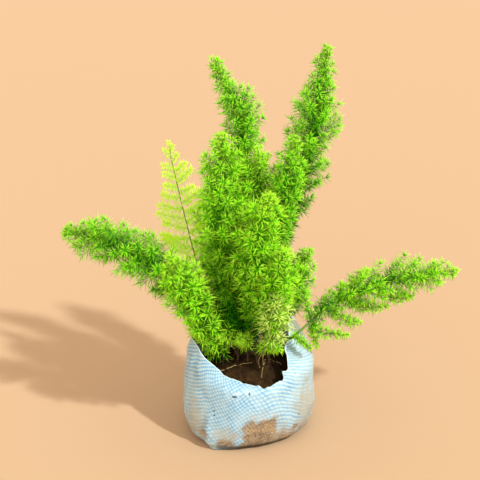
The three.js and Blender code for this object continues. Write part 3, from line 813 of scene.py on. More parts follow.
def make_scatter_tree():
    inputs = [
        ("Geometry", "Geometry", None),
        ("Crumbs per square metre", "Float", 30000.0),
        ("Smallest", "Float", 0.5 * MM),
        ("Largest", "Float", 2.2 * MM),
        ("Seed", "Int", 3),
        ("Material", "Material", None),
    ]
    group, given, result = open_group("crumb scatter", "GeometryNodeTree", inputs, [("Geometry", "Geometry")])
    upward = split(group, add_node(group, "GeometryNodeInputNormal").outputs[0])["Z"]
    named = {"Name": "inland"}
    inland = add_node(group, "GeometryNodeInputNamedAttribute", named, data_type="FLOAT").outputs[0]
    away = calculate(group, "GREATER_THAN", inland, EDGE_CLEAR)
    top = calculate(group, "MULTIPLY", calculate(group, "GREATER_THAN", upward, LEVEL_ENOUGH), away)
    spread = add_node(
        group,
        "GeometryNodeDistributePointsOnFaces",
        {
            "Mesh": given["Geometry"],
            "Selection": top,
            "Density": given["Crumbs per square metre"],
            "Seed": given["Seed"],
        },
    )
    stone = add_node(group, "GeometryNodeMeshIcoSphere", {"Radius": 1.0, "Subdivisions": 2})
    knock = add_node(group, "ShaderNodeTexNoise", {"Scale": 1.3})
    dents = combine(group, "ADD", knock.outputs["Color"], (-0.35, -0.35, -0.6))
    rough = add_node(group, "GeometryNodeSetPosition", {"Geometry": stone.outputs["Mesh"], "Offset": dents})
    size = add_node(group, "FunctionNodeRandomValue", {"Seed": given["Seed"]}, data_type="FLOAT")
    group.links.new(given["Smallest"], size.inputs[2])
    group.links.new(given["Largest"], size.inputs[3])
    turn = add_node(group, "FunctionNodeRandomValue", data_type="FLOAT_VECTOR")
    turn.inputs[1].default_value = (FULL_TURN, FULL_TURN, FULL_TURN)
    placed = add_node(
        group,
        "GeometryNodeInstanceOnPoints",
        {
            "Points": spread.outputs["Points"],
            "Instance": rough.outputs["Geometry"],
            "Rotation": turn.outputs[0],
            "Scale": size.outputs[1],
        },
    )
    real = add_node(group, "GeometryNodeRealizeInstances", {"Geometry": placed.outputs[0]})
    parts = {"Geometry": real.outputs[0], "Material": given["Material"]}
    group.links.new(add_node(group, "GeometryNodeSetMaterial", parts).outputs[0], result.inputs[0])
    return group


def run_tree(piece, tree, values):
    """Adds a Geometry Nodes modifier, sets its named inputs, and returns the finished plain mesh."""
    modifier = piece.modifiers.new(tree.name, "NODES")
    modifier.node_group = tree
    for item in tree.interface.items_tree:
        if item.in_out == "INPUT" and item.name in values:
            modifier[item.identifier] = values[item.name]
    return bake_modifiers(piece)


crumbs = place_object("soil_crumbs", soil.data.copy())
crumbs = run_tree(crumbs, make_scatter_tree(), {"Seed": 5, "Material": soil_finish})
stands_for(soil, "potting_soil", "soil")
stands_for(crumbs, "potting_soil")

# %% [markdown]
# ## The plumes
# Each plume is grown from its stem's line by one Geometry Nodes tree:
#
# 1. the stem is a thin tube along the line;
# 2. twigs stand on it at the golden angle, as on real stems, and lean outwards;
# 3. needles stand in whorls on every twig, and open at its end into a star;
# 4. needles that would grow into the bag or the soil are left off.
#
# The line itself says how far the plume reaches at each of its points, so one tree makes a dense
# brush, a loose spray and a pointed tip. Every needle keeps a few numbers, such as how far out it
# stands and a random tone. The material reads them, so a plume is deep green inside: painted shade.

# %% One needle
NEEDLE_BELLY = 0.4  # where the needle is widest, as a share of its length
NEEDLE_BEND = 1.7  # how far its tip leans over, in needle widths
NEEDLE_RADIUS = 0.55  # of its belly, in needle widths


def needle_mesh():
    """A three-sided spindle of unit length and width, closed at both ends and slightly curved."""
    points = [(0, 0, 0)]
    for k in range(3):
        angle = 2 * math.pi * k / 3
        lean = NEEDLE_BEND * NEEDLE_BELLY**2
        x, y = NEEDLE_RADIUS * math.cos(angle), NEEDLE_RADIUS * math.sin(angle)
        points.append((x + lean, y, NEEDLE_BELLY))
    points.append((NEEDLE_BEND, 0, 1))
    faces = [(0, 1 + (k + 1) % 3, 1 + k) for k in range(3)]
    faces += [(1 + k, 1 + (k + 1) % 3, 4) for k in range(3)]
    return points, faces


needle = new_piece("needle", *needle_mesh())
needle_ends = needle.data.attributes.new("along", "FLOAT", "POINT")
needle_ends.data.foreach_set("value", [v.co.z for v in needle.data.vertices])


# %% The plume tree
DEGREE = math.pi / 180
TIP = 30 * MM  # over this length at a stem's tip, twigs stand steeper and needles are shorter
TIP_LEAN = 0.3  # the share of their lean that twigs keep at the very tip
TIP_LEAN_FROM = 0.3  # the share of that length over which they don't yet stand steeper
TIP_LENGTH = 0.6  # the share of their length that needles keep there
STEM_TAPER = 0.35
STEM_SIDES = 7
TWIG_SIDES = 3
TWIG_RADII = (0.4 * MM, 0.2 * MM)  # at a twig's foot and at its end
TWIG_POINTS = 4
TWIG_END = 0.99  # a whorl past this share of its twig is the star at its end
SHORTEST_TWIG = 2.5 * MM
BARE = 1 * MM  # a line with a smaller radius bears no twigs
GOLDEN_ANGLE = 137.508  # degrees
NEEDLE_SHARE = 0.62  # the share of a needle's length that counts in a plume's half width
FLATTEST = 0.6  # the least sine of the lean from which a twig's length is worked out
NEEDLE_LEAN = 60.0
STAR_NEEDLES = 5.0  # how many more needles stand at a twig's end than in a whorl
STAR_LEAN = (8.0, 72.0)
# how far each draw strays: leans in degrees, turns in radians, and lengths as shares
TWIG_LEANS = (-18.0, 14.0)
TWIG_TURNS = (-0.3, 0.3)
TWIG_LENGTHS = (0.72, 1.16)
NEEDLE_LEANS = (-16.0, 14.0)
NEEDLE_TURNS = (-0.45, 0.45)
NEEDLE_TWISTS = (-1.2, 1.2)
NEEDLE_LENGTHS = (0.7, 1.12)
PROBE = 6 * MM  # how far along a needle its room is measured
ROOM = 3.6 * MM  # a needle nearer than this to the bag or the soil is left off


def make_plume_tree():
    inputs = [
        ("Geometry", "Geometry", None),
        ("Twig spacing", "Float", 1.7 * MM),
        ("Twig turn", "Float", GOLDEN_ANGLE),
        ("First turn", "Float", 0.0),
        ("Twig lean", "Float", 64.0),
        ("Twig rise", "Float", 0.2),
        ("Whorl spacing", "Float", 2.8 * MM),
        ("Needles per whorl", "Int", 6),
        ("Needle length", "Float", 10.0 * MM),
        ("Needle width", "Float", 0.86 * MM),
        ("Stem radius", "Float", 1.2 * MM),
        ("Seed", "Int", 1),
        ("Needle", "Object", None),
        ("Keep clear of", "Collection", None),
        ("Stem material", "Material", None),
        ("Twig material", "Material", None),
        ("Needle material", "Material", None),
    ]
    group, given, result = open_group("foxtail plume", "GeometryNodeTree", inputs, [("Geometry", "Geometry")])

    def node(kind, inputs=None, **options):
        return add_node(group, kind, inputs, **options)

    def work(operation, *values):
        return calculate(group, operation, *values)

    def store(geometry, name, value, domain="POINT", data_type="FLOAT"):
        options = {"domain": domain, "data_type": data_type}
        made = node("GeometryNodeStoreNamedAttribute", {"Geometry": geometry, "Name": name}, **options)
        group.links.new(value, made.inputs["Value"])
        return made.outputs[0]

    def read(name, data_type="FLOAT"):
        return node("GeometryNodeInputNamedAttribute", {"Name": name}, data_type=data_type).outputs[0]

    def chance(low, high, offset):
        """A random number for each element, from this plume's seed and a fixed offset."""
        seed = work("ADD", given["Seed"], float(offset))
        return node("FunctionNodeRandomValue", {"Seed": seed, 2: low, 3: high}, data_type="FLOAT").outputs[1]

    def turned(rotation, axis, angle):
        by = node("FunctionNodeAxisAngleToRotation", {"Axis": axis, "Angle": angle}).outputs[0]
        both = {"Rotation": rotation, "Rotate By": by}
        return node("FunctionNodeRotateRotation", both, rotation_space="LOCAL").outputs[0]

    def tube(curve, radius, sides):
        ring = node("GeometryNodeCurvePrimitiveCircle", {"Resolution": sides, "Radius": 1.0}).outputs[0]
        parts = {"Curve": curve, "Profile Curve": ring, "Scale": radius, "Fill Caps": True}
        return node("GeometryNodeCurveToMesh", parts).outputs[0]

    def painted(geometry, material):
        return node("GeometryNodeSetMaterial", {"Geometry": geometry, "Material": material}).outputs[0]

    def spaced_out(curve, step):
        return node("GeometryNodeResampleCurve", {"Curve": curve, 3: step}, mode="LENGTH").outputs[0]

    def points_of(curve):
        return node("GeometryNodeCurveToPoints", {"Curve": curve}, mode="EVALUATED").outputs

    def without(points, unwanted):
        cut = {"Geometry": points, "Selection": unwanted}
        return node("GeometryNodeDeleteGeometry", cut, domain="POINT").outputs[0]

    def set_on(points, shape, rotation, scale):
        parts = {"Points": points, "Instance": shape, "Rotation": rotation, "Scale": scale}
        return node("GeometryNodeInstanceOnPoints", parts).outputs[0]

    def real(instances):
        return node("GeometryNodeRealizeInstances", {"Geometry": instances}).outputs[0]

    spline = node("GeometryNodeSplineParameter").outputs
    spline_length = node("GeometryNodeSplineLength").outputs["Length"]
    index = node("GeometryNodeInputIndex").outputs[0]

    # 1. The stem, slimmer towards its tip.
    line = store(given["Geometry"], "half_width", node("GeometryNodeInputRadius").outputs[0])
    taper = rescale(group, spline["Factor"], 0, 1, 1, STEM_TAPER)
    stem = tube(line, work("MULTIPLY", given["Stem radius"], taper), STEM_SIDES)
    stem = painted(stem, given["Stem material"])

    # 2. Twigs, evenly spaced wherever the line has a width.
    spaced = spaced_out(line, given["Twig spacing"])
    spaced = store(spaced, "to_tip", work("SUBTRACT", spline_length, spline["Length"]))
    feet = points_of(spaced)
    feet_points = store(feet["Points"], "stem_way", feet["Tangent"], data_type="FLOAT_VECTOR")
    feet_points = without(feet_points, work("LESS_THAN", read("half_width"), BARE))
    near_tip = rescale(group, read("to_tip"), 0, TIP, 1.0, 0.0)
    lean = work("ADD", given["Twig lean"], chance(*TWIG_LEANS, 1))
    lean = work("MULTIPLY", lean, rescale(group, near_tip, TIP_LEAN_FROM, 1.0, 1.0, TIP_LEAN))
    lean = work("MULTIPLY", lean, DEGREE)
    spin = work("MULTIPLY_ADD", index, given["Twig turn"], given["First turn"])
    spin = work("MULTIPLY_ADD", spin, DEGREE, chance(*TWIG_TURNS, 2))
    facing = turned(turned(feet["Rotation"], (0, 0, 1), spin), (0, 1, 0), lean)
    reach = work("SUBTRACT", read("half_width"), work("MULTIPLY", given["Needle length"], NEEDLE_SHARE))
    reach = work("DIVIDE", reach, work("MAXIMUM", work("SINE", lean), FLATTEST))
    reach = work("MULTIPLY", reach, chance(*TWIG_LENGTHS, 3))
    reach = work("MAXIMUM", reach, SHORTEST_TWIG)
    twig = node("GeometryNodeCurvePrimitiveLine", {"End": (0, 0, 1)}).outputs[0]
    twig = node("GeometryNodeResampleCurve", {"Curve": twig, "Count": TWIG_POINTS}).outputs[0]
    twigs = set_on(feet_points, twig, facing, reach)
    twigs = store(twigs, "reach", reach, domain="INSTANCE")
    twigs = store(twigs, "twig_tone", chance(0.0, 1.0, 4), domain="INSTANCE")
    twigs = real(twigs)
    lift = work("MULTIPLY", work("POWER", spline["Factor"], 2.0), read("reach"))
    lift = work("MULTIPLY", lift, given["Twig rise"])
    rise = {0: read("stem_way", "FLOAT_VECTOR"), "Scale": lift}
    rise = node("ShaderNodeVectorMath", rise, operation="SCALE").outputs[0]
    twigs = node("GeometryNodeSetPosition", {"Geometry": twigs, "Offset": rise}).outputs[0]
    twig_radius = rescale(group, spline["Factor"], 0, 1, *TWIG_RADII)
    stalks = painted(tube(twigs, twig_radius, TWIG_SIDES), given["Twig material"])

    # 3. Needles, in whorls along each twig, with a fuller star at its end.
    knots = points_of(store(spaced_out(twigs, given["Whorl spacing"]), "out", spline["Factor"]))
    aimed = store(knots["Points"], "way", knots["Rotation"], data_type="QUATERNION")
    aimed = store(aimed, "whorl_turn", chance(0.0, FULL_TURN, 9))
    at_end = work("GREATER_THAN", read("out"), TWIG_END)
    amount = work("MULTIPLY_ADD", at_end, STAR_NEEDLES, given["Needles per whorl"])
    copies = {"Geometry": aimed, "Amount": amount}
    whorls = node("GeometryNodeDuplicateElements", copies, domain="POINT").outputs
    part_turn = work("DIVIDE", 2 * math.pi, amount)
    needle_spin = work("MULTIPLY_ADD", whorls["Duplicate Index"], part_turn, read("whorl_turn"))
    needle_spin = work("ADD", needle_spin, chance(*NEEDLE_TURNS, 5))
    side_lean = work("ADD", NEEDLE_LEAN, chance(*NEEDLE_LEANS, 6))
    leans = {0: at_end, 2: side_lean, 3: chance(*STAR_LEAN, 10)}
    needle_lean = work("MULTIPLY", node("ShaderNodeMix", leans).outputs[0], DEGREE)
    heading = turned(turned(read("way", "QUATERNION"), (0, 0, 1), needle_spin), (0, 1, 0), needle_lean)
    heading = turned(heading, (0, 0, 1), chance(*NEEDLE_TWISTS, 11))
    needle_length = work("MULTIPLY", given["Needle length"], chance(*NEEDLE_LENGTHS, 7))
    shorter = rescale(group, read("to_tip"), 0, TIP, TIP_LENGTH, 1.0)
    needle_length = work("MULTIPLY", needle_length, shorter)
    width = given["Needle width"]
    size = node("ShaderNodeCombineXYZ", {0: width, 1: width, 2: needle_length}).outputs[0]

    # 4. Leave off the needles that would grow into the bag or the soil. Twigs stay.
    ahead = node("FunctionNodeRotateVector", {"Vector": (0, 0, PROBE), "Rotation": heading}).outputs[0]
    probe = combine(group, "ADD", node("GeometryNodeInputPosition").outputs[0], ahead)
    walls = real(node("GeometryNodeCollectionInfo", {"Collection": given["Keep clear of"]}).outputs[0])
    near = node("GeometryNodeProximity", {0: walls, 2: probe}, target_element="FACES").outputs["Distance"]
    grown = without(whorls["Geometry"], work("LESS_THAN", near, ROOM))
    shape = node("GeometryNodeObjectInfo", {"Object": given["Needle"]}).outputs["Geometry"]
    needles = set_on(grown, shape, heading, size)
    needles = store(needles, "tone", chance(0.0, 1.0, 8), domain="INSTANCE")
    joined = node("GeometryNodeJoinGeometry")
    for part in (painted(needles, given["Needle material"]), stalks, stem):
        group.links.new(part, joined.inputs[0])
    group.links.new(real(joined.outputs[0]), result.inputs[0])
    return group


plume_tree = make_plume_tree()


# %% [markdown]
# ## Green finishes
# A needle is deep green near the stem and fresher towards its tip, and new growth is almost
# yellow. The deep green inside a plume and of old growth is partly painted shade, and a needle's
# pale end is partly a painted highlight. Light passes through thin needles. Subsurface scattering
# could show that, but a needle is too thin for it, so a Translucent shader is mixed in. The young
# shoot is the palest and thinnest, and it also gets a faint Emission: painted light that makes it
# glow brighter than the shade of the plumes around it.

# %% Needle and stem materials
OLD_GROWTH_AND_SHADE = (115 * MM, 205 * MM)  # from a plume's tip: needles darken from the first to the second, as old growth and as painted shade on the plume's lower parts
OLD_AND_SHADED_SHARE = 0.9  # how far they turn to the colour of old growth, which is also painted shade
NEW_GROWTH = 50 * MM  # from a plume's tip, over which needles are paler
NEW_PALENESS = 0.45  # how much paler at the very tip
OUTER_UNSHADED = (0.1, 0.9)  # the shares of a twig between which needles turn from inner, in painted shade, to outer
# how much a needle freshens out of the painted shade with how far out it stands, by chance, and by its twig's
# chance
FRESHENED = (0.5, 0.5, 0.35)
FRESH = (0.25, 1.05)  # the sum of these that is still deep green, and the sum that is all fresh
PALE_END_AND_HIGHLIGHT = (0.3, 1.0, 0.1, 1.0)  # from this share of a needle to its end, it pales from 0.1 to full: partly its own pale tip, partly a painted highlight
# how far a needle's end turns to the tip colour, partly a painted highlight
END_PALENESS_AND_HIGHLIGHT = 0.9
LET_THROUGH = 0.42  # the share of the light that the Translucent shader takes
# painted light: the Emission strength that makes the young shoot glow in the shade of the plumes
YOUNG_PAINTED_GLOW = 0.4


def needle_material(name, deep, fresh, tip, aged_and_shaded, painted_glow=0.0):
    material, tree, shader = new_material(name, 0.6)
    shader.inputs["Specular IOR Level"].default_value = 0.08

    def number(label):
        return add_node(tree, "ShaderNodeAttribute", attribute_name=label).outputs["Fac"]

    # painted shade: needles near the stem are deep green, and those further out are fresher
    outward_unshaded = rescale(tree, number("out"), *OUTER_UNSHADED)
    mixed = calculate(tree, "MULTIPLY", outward_unshaded, FRESHENED[0])
    mixed = calculate(tree, "MULTIPLY_ADD", number("tone"), FRESHENED[1], mixed)
    mixed = calculate(tree, "MULTIPLY_ADD", number("twig_tone"), FRESHENED[2], mixed)
    colour = blend_colours(tree, rescale(tree, mixed, *FRESH), deep, fresh)
    # the pale end of an outer needle: partly its own colour, partly a painted highlight
    ends = calculate(tree, "MULTIPLY", rescale(tree, number("along"), *PALE_END_AND_HIGHLIGHT), outward_unshaded)
    at_top = rescale(tree, number("to_tip"), 0, NEW_GROWTH, NEW_PALENESS, 0.0)
    ends = calculate(tree, "MAXIMUM", calculate(tree, "MULTIPLY", ends, END_PALENESS_AND_HIGHLIGHT), at_top)
    colour = blend_colours(tree, ends, colour, tip)
    # old growth, and painted shade: needles far from a plume's tip darken
    age = rescale(tree, number("to_tip"), *OLD_GROWTH_AND_SHADE, 0.0, OLD_AND_SHADED_SHARE)
    colour = blend_colours(tree, age, colour, aged_and_shaded)
    tree.links.new(colour, shader.inputs["Base Color"])
    # painted light: the needles glow in their own colour
    if painted_glow:
        tree.links.new(colour, shader.inputs["Emission Color"])
        shader.inputs["Emission Strength"].default_value = painted_glow
    through = add_node(tree, "ShaderNodeBsdfTranslucent", {"Color": colour})
    halves = {0: LET_THROUGH, 1: shader.outputs[0], 2: through.outputs[0]}
    both = add_node(tree, "ShaderNodeMixShader", halves)
    tree.links.new(both.outputs[0], tree.nodes["Material Output"].inputs["Surface"])
    return material


def stem_material(name, low, high, foot=None):
    """Bark or skin with a fine grain. Where a foot colour is given, the stem is old wood near the soil."""
    material, tree, shader = new_material(name, 0.55)
    place = add_node(tree, "ShaderNodeTexCoord").outputs["Object"]
    grain = use_group(tree, GRAIN, {"Vector": place, "Scale": 500.0, "Contrast": 0.5})
    colour = blend_colours(tree, grain, low, high)
    if foot:
        height = split(tree, place)["Z"]
        age = rescale(tree, height, *OLD_WOOD, 1.0, 0.0, smooth=True)
        colour = blend_colours(tree, age, colour, foot)
    tree.links.new(colour, shader.inputs["Base Color"])
    tree.links.new(bump(tree, grain, 0.15 * MM), shader.inputs["Normal"])
    return material


OLD_WOOD = (95 * MM, 150 * MM)  # heights: brown up to the first, and green from the second
BROWN = (0.05, 0.028, 0.01, 1)
# the colours near the stem (partly painted shade), further out, at a needle's tip (partly a painted
# highlight), and of old growth (partly painted shade)
GREENS = [(0.002, 0.26, 0.0, 1), (0.2, 0.86, 0.0, 1), (0.76, 0.99, 0.09, 1), (0.002, 0.26, 0.0, 1)]
# a brighter copy of the green needles: painted light, so that the middle plumes, shaded by the others, look
# as bright as the rest; the nearest plumes and the arm wear it too
LIT_GREENS = [(0.002, 0.28, 0.0, 1), (0.31, 0.96, 0.0, 1), (0.8, 1.0, 0.09, 1), (0.001, 0.24, 0.0, 1)]
LIMES = [(0.46, 0.74, 0.01, 1), (0.62, 0.84, 0.03, 1), (0.74, 0.88, 0.1, 1), (0.56, 0.8, 0.03, 1)]
PALE_GREENS = [(0.36, 0.68, 0.03, 1), (0.7, 0.92, 0.1, 1), (0.94, 1.0, 0.45, 1), (0.2, 0.4, 0.02, 1)]
GREEN = needle_material("green needles", *GREENS)
LIT_GREEN = needle_material("bright needles", *LIT_GREENS)
LIME = needle_material("lime needles", *LIMES, YOUNG_PAINTED_GLOW)
PALE = needle_material("pale needles", *PALE_GREENS)
GREEN_STEM = stem_material("green stem", (0.05, 0.22, 0.01, 1), (0.14, 0.4, 0.03, 1), BROWN)
LIME_TWIG = stem_material("lime twig", (0.4, 0.6, 0.04, 1), (0.6, 0.8, 0.08, 1))
DARK_STEM = stem_material("dark stem", (0.05, 0.14, 0.005, 1), (0.12, 0.25, 0.01, 1))

# %% [markdown]
# ## Where each stem runs
# The routes are the solids' own: where the stem leaves the soil, then the points it bends
# through. A Catmull-Rom curve joins them, as in the solids. The fourth number at each point is
# how wide the plume is there, needles and all. A side shoot leaves its stem at one of its points.

# %% Stem routes
HOLE_DEPTH = 9
COLLAR = 9  # mm: a stem stands upright this far above the soil
# the nearest plumes are looser, and their longer needles stand in clear stars
STARRY = {
    "Needle material": LIT_GREEN,
    "Twig spacing": 2.0 * MM,
    "Whorl spacing": 4.4 * MM,
    "Needles per whorl": 7,
    "Needle length": 13.0 * MM,
    "Needle width": 0.95 * MM,
}
SPRIG = {
    **STARRY,
    "Needle material": PALE,
    "Twig spacing": 2.6 * MM,
    "Whorl spacing": 5.6 * MM,
    "Needles per whorl": 4,
    "Needle length": 12.5 * MM,
    "Needle width": 1.0 * MM,
}
ARM = {
    "Needle material": LIT_GREEN,
    "Stem material": DARK_STEM,
    "Stem radius": 1.5 * MM,
    "Twig lean": 56.0,
    "Twig spacing": 2.4 * MM,
    "Needle length": 10 * MM,
}
# name: bare length of the stem, seed, what differs from the usual plume, route
PLUMES = {
    "plume_tall_right": (40, 11, {}, [
        (8, 20), (17, 27, 130, 44), (28, 36, 193, 36), (39, 39, 222, 38), (51, 42, 250, 52),
        (63, 46, 302, 58), (67, 47, 330, 48), (70, 48, 350, 32), (72, 48, 365, 28), (75, 48, 387, 18),
    ]),
    "plume_tall_left": (40, 12, {}, [
        (-5, 22), (-10, 27, 130, 44), (-10, 32, 195, 50), (-9, 36, 258, 54), (-8, 38, 302, 48),
        (-7, 39, 321, 44), (-11, 40, 333, 44), (-17, 40, 344, 32), (-28, 40, 363, 24),
        (-33, 40, 376, 20),
    ]),
    "plume_arching_left": (35, 13, {"Needle length": 11.0 * MM}, [
        (-16, 14), (-43, 8, 119, 44), (-69, 2, 154, 54), (-92, -2, 178, 59), (-118, -5, 197, 58),
        (-148, -6, 211, 48), (-180, -8, 219, 16),
    ]),
    "plume_reaching_right": (66, 14, ARM, [
        (20, 8), (36, -6, 98, 0), (51, -6, 109, 0), (64, -1, 120, 24), (77, 4, 131, 38), (106, 12, 144, 46),
        (144, 15, 156.5, 50), (178, 15, 162.5, 36), (191, 15, 165, 26), (207, 14, 167, 16),
    ]),
    "plume_inner_right": (30, 15, {}, [
        (7, 8), (17, 2, 150, 42), (27, -4, 219, 34), (37, -9, 274, 42), (42, -12, 312, 20),
    ]),
    "plume_mid_left": (24, 16, {"Needle material": LIT_GREEN, "Needle length": 10.5 * MM}, [
        (-12, 6), (-23, -2, 140, 52), (-30, -8, 209, 58), (-30, -13, 258, 50), (-29, -14, 286, 42),
        (-28, -15, 303, 32), (-27, -15, 318, 16),
    ]),
    "plume_mid_right": (20, 17, {"Needle material": LIT_GREEN}, [
        (1, 13), (2, 10, 136, 44), (5, 8, 204, 50), (6, 4, 254, 52), (9, 3, 289, 26),
    ]),
    "plume_front_centre": (52, 18, STARRY, [
        (-2, -2), (4, -16, 132, 38), (5, -36, 196, 54), (11, -49, 243, 44), (18, -58, 273, 16),
    ]),
    "plume_front_left": (30, 19, STARRY, [
        (-13, -1), (-37, -14, 114, 46), (-60, -34, 158, 54), (-74, -52, 202, 28),
    ]),
    "plume_front_right": (46, 20, STARRY, [
        (8, -4), (17, -20, 122, 42), (26, -38, 172, 50), (32, -54, 214, 18),
    ]),
    "plume_short_right": (52, 21, {"Twig spacing": 1.3 * MM}, [
        (16, 14), (36, 14, 114, 24), (47, 14, 148, 40), (54, 14, 182, 22),
    ]),
    "plume_back_left": (14, 22, {}, [(-12, 28), (-26, 44, 120, 46), (-36, 62, 180, 46), (-40, 76, 232, 16)]),
    "plume_back_right": (14, 23, {}, [(4, 30), (12, 48, 120, 46), (22, 70, 184, 46), (30, 88, 240, 16)]),
    "shoot_young": (
        66, 24,
        {
            "Needle material": LIME,
            "Stem material": DARK_STEM,
            "Twig material": LIME_TWIG,
            "Stem radius": 1.1 * MM,
            "Twig turn": 180.0,
            "First turn": 112.0,
            "Twig spacing": 5.6 * MM,
            "Twig lean": 74.0,
            "Twig rise": 0.2,
            "Whorl spacing": 1.7 * MM,
            "Needles per whorl": 8,
            "Needle length": 7.5 * MM,
            "Needle width": 0.85 * MM,
        },
        [
            (-22, 22), (-44, 34, 125, 50), (-58, 39, 180, 62), (-69, 42, 228, 48), (-77, 44, 266, 30),
            (-80, 45, 280, 18), (-81, 45, 291, 13),
        ],
    ),
    "sprig_yellow": (26, 25, SPRIG, [
        (20, 0), (22, -15, 102, 28), (24, -30, 127, 40), (26, -43, 149, 32), (27, -51, 164, 16),
    ]),
    "sprig_low_left": (8, 26, STARRY, [(-28, -2), (-42, -12, 104, 32), (-58, -25, 127, 22)]),
}
SIDE_SHOOTS = {
    "plume_front_centre": [
        [(-2, -6, 96, 0), (-10, -13, 103, 14), (-20, -18, 108, 16), (-28, -21, 109, 8)],
        [(0, -8, 97, 0), (-3, -15, 104, 14), (-7, -21, 108, 15), (-9, -26, 109, 8)],
    ],
    "plume_front_right": [[(10, -7, 90, 0), (16, -16, 97, 14), (22, -25, 101, 18), (28, -32, 102, 10)]],
    "plume_reaching_right": [
        [(41, -8, 102, 0), (46, -13, 105, 9), (53, -18, 103, 11), (59, -22, 100, 7)],
        [(63, -1, 120, 0), (60, 2, 127, 14), (57, 6, 138, 14), (56, 8, 143, 8)],
        [(64, -1, 121, 0), (64, -3, 110, 12), (66, -4, 100, 16), (68, -4, 95, 8)],
        [(62, -2, 119, 0), (66, -3, 112, 16), (74, -4, 107, 20), (88, -4, 105, 16), (97, -4, 104, 8)],
        [(78, 4, 130, 0), (88, 4, 124, 18), (100, 6, 116, 20), (110, 6, 114, 10)],
        [(90, 8, 136, 0), (91, 10, 143, 18), (93, 11, 151, 12)],
        [(98, 10, 139, 0), (105, 12, 151, 20), (111, 12, 161, 20), (117, 12, 166, 10)],
        [(96, 9, 138, 0), (112, 10, 130, 20), (128, 11, 128, 18), (138, 12, 129, 8)],
        [(128, 14, 150, 0), (142, 14, 139, 20), (156, 14, 137, 16), (164, 14, 139, 8)],
    ],
}


def smooth_route(points, steps=12):
    """Points on a centripetal Catmull-Rom curve through the given ones, with any further numbers."""
    points = [np.array(p, float) for p in points]
    ends = [2 * points[0] - points[1], *points, 2 * points[-1] - points[-2]]
    line = []
    for a, b, c, d in zip(ends, ends[1:], ends[2:], ends[3:]):
        gaps = [max(np.linalg.norm((q - p)[:3]) ** 0.5, 1e-6) for p, q in ((a, b), (b, c), (c, d))]
        start = (b - a) / gaps[0] - (c - a) / (gaps[0] + gaps[1]) + (c - b) / gaps[1]
        end = (c - b) / gaps[1] - (d - b) / (gaps[1] + gaps[2]) + (d - c) / gaps[2]
        start, end = start * gaps[1], end * gaps[1]
        for k in range(steps):
            t = k / steps
            near = b * (2 * t**3 - 3 * t**2 + 1) + start * (t**3 - 2 * t**2 + t)
            line.append(near + c * (3 * t**2 - 2 * t**3) + end * (t**3 - t**2))
    return [*line, points[-1]]


def new_lines(name):
    data = bpy.data.curves.new(name, "CURVE")
    data.dimensions = "3D"
    return data


def add_line(data, points, radii):
    """A spline of straight segments through points in metres, with a radius for each."""
    spline = data.splines.new("POLY")
    spline.points.add(len(points) - 1)
    for target, point, radius in zip(spline.points, points, radii):
        target.co = (*point, 1)
        target.radius = radius


def add_stem(data, line, widths):
    """A stem's line in millimetres. Each point's radius is half the plume's width there, in metres."""
    add_line(data, [p[:3] * MM for p in line], [max(width, 0) / 2 * MM for width in widths])


def stem_curve(name, bare, route, shoots):
    (x, y), *rest = route
    ground = soil_height(x, y)
    first = rest[0][3]
    line = smooth_route([(x, y, ground - HOLE_DEPTH / 2, first), (x, y, ground + COLLAR, first), *rest])
    data = new_lines(name)
    grown, widths = -HOLE_DEPTH / 2, []
    for before, p in zip([line[0], *line], line):
        grown += np.linalg.norm((p - before)[:3])
        widths.append(p[3] if grown > bare else 0)
    add_stem(data, line, widths)
    for shoot in shoots:
        line = smooth_route(shoot, 6)
        add_stem(data, line, [p[3] for p in line])
    return place_object(name, data)


# %% Grow every plume
keep_clear = bpy.data.collections.new("keep clear")
for wall in (bag, soil):
    keep_clear.objects.link(wall)

total = 0
for name, (bare, seed, changes, route) in PLUMES.items():
    values = {
        "Seed": seed,
        "Needle": needle,
        "Keep clear of": keep_clear,
        "Stem material": GREEN_STEM,
        "Twig material": GREEN_STEM,
        "Needle material": GREEN,
        **changes,
    }
    curve = stem_curve(name + "_foliage", bare, route, SIDE_SHOOTS.get(name, []))
    plume = run_tree(curve, plume_tree, values)
    slot = "foliage_young" if changes.get("Needle material") in (LIME, PALE) else "foliage_green"
    stands_for(plume, slot, name)
    total += len(plume.data.polygons)
print("plumes:", total, "faces")

bpy.data.objects.remove(needle)
bpy.data.collections.remove(keep_clear)

# %% [markdown]
# ## Roots on the soil
# A few thin, dry roots lie on the soil near the front. A flat path would float above the hollows or
# sink into the lumps, so each point is dropped onto the mound by a ray, and a tube runs through them.

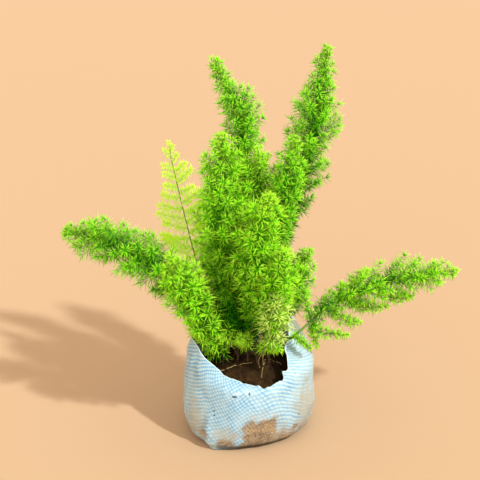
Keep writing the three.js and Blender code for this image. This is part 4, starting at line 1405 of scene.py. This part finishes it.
# %% Surface roots
ROOTS = {
    "surface_root_left": [
        [(-30, -14), (-21, -12), (-12, -10), (-3, -7), (4, -3)],
        [(-31, 1), (-25, 3), (-18, 2)],
    ],
    "surface_root_fork": [
        [(16, 4), (15, -4), (13, -16), (12, -27)],
        [(16, 4), (21, 4), (28, 1), (33, -1)],
    ],
}
ROOT_RADIUS = 0.6
ABOVE_ALL = 0.2  # metres: the rays start from this height, well over the soil
ROOT_FINISH = stem_material("dry root", (0.13, 0.085, 0.025, 1), (0.36, 0.27, 0.1, 1))


def tube_piece(name, lines, radius, taper):
    """Slim round tubes through the given points, in millimetres, thinner towards their ends."""
    data = new_lines(name)
    data.bevel_depth = radius * MM
    data.bevel_resolution = 2
    data.use_fill_caps = True
    for line in lines:
        radii = [1 - taper * k / len(line) for k in range(len(line))]
        add_line(data, [Vector(spot) * MM for spot in line], radii)
    return bake_modifiers(place_object(name, data))


def ground_height(x, y):
    """The highest soil within a millimetre, so that a root lies on the lumps."""
    heights = []
    for side, front in ((0, 0), (1, 0), (-1, 0), (0, 1), (0, -1)):
        hit, spot, _, _ = soil.ray_cast(((x + side) * MM, (y + front) * MM, ABOVE_ALL), (0, 0, -1))
        heights.append(spot.z / MM if hit else soil_height(x, y))
    return max(heights)


for name, paths in ROOTS.items():
    lines = []
    for path in paths:
        line = smooth_route([(x, y, 0) for x, y in path], 8)
        lines.append([(x, y, ground_height(x, y) + ROOT_RADIUS) for x, y, _ in line])
    root = tube_piece(name + "_dry", lines, ROOT_RADIUS, 0.55)
    root.data.materials.append(ROOT_FINISH)
    stands_for(root, "dry_root", name)

# %% [markdown]
# ## Dry twigs
# Old stems die back and stay standing among the new ones. They are thin, brown and a little
# crooked. Each is a short tube from the soil up into the lowest foliage.

# %% Dry twigs
DRY_TWIGS = [
    [(14, -10, 70), (13, -14, 84), (10, -18, 98), (11, -20, 112)],
    [(11, -14, 69), (9, -19, 82), (13, -23, 94), (17, -26, 106)],
]
TWIG_RADIUS = 0.55

twigs = tube_piece("dry_twigs", [smooth_route(path, 6) for path in DRY_TWIGS], TWIG_RADIUS, 0.4)
twigs.data.materials.append(ROOT_FINISH)
stands_for(twigs, "dry_root")

# %% [markdown]
# ## The size
# The dressed plant is meant to fill the same box as the solids. Its box is printed in millimetres.

# %% Size
low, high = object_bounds()
print("visual box:", [round(v / MM) for v in (*low, *high)], "mm")
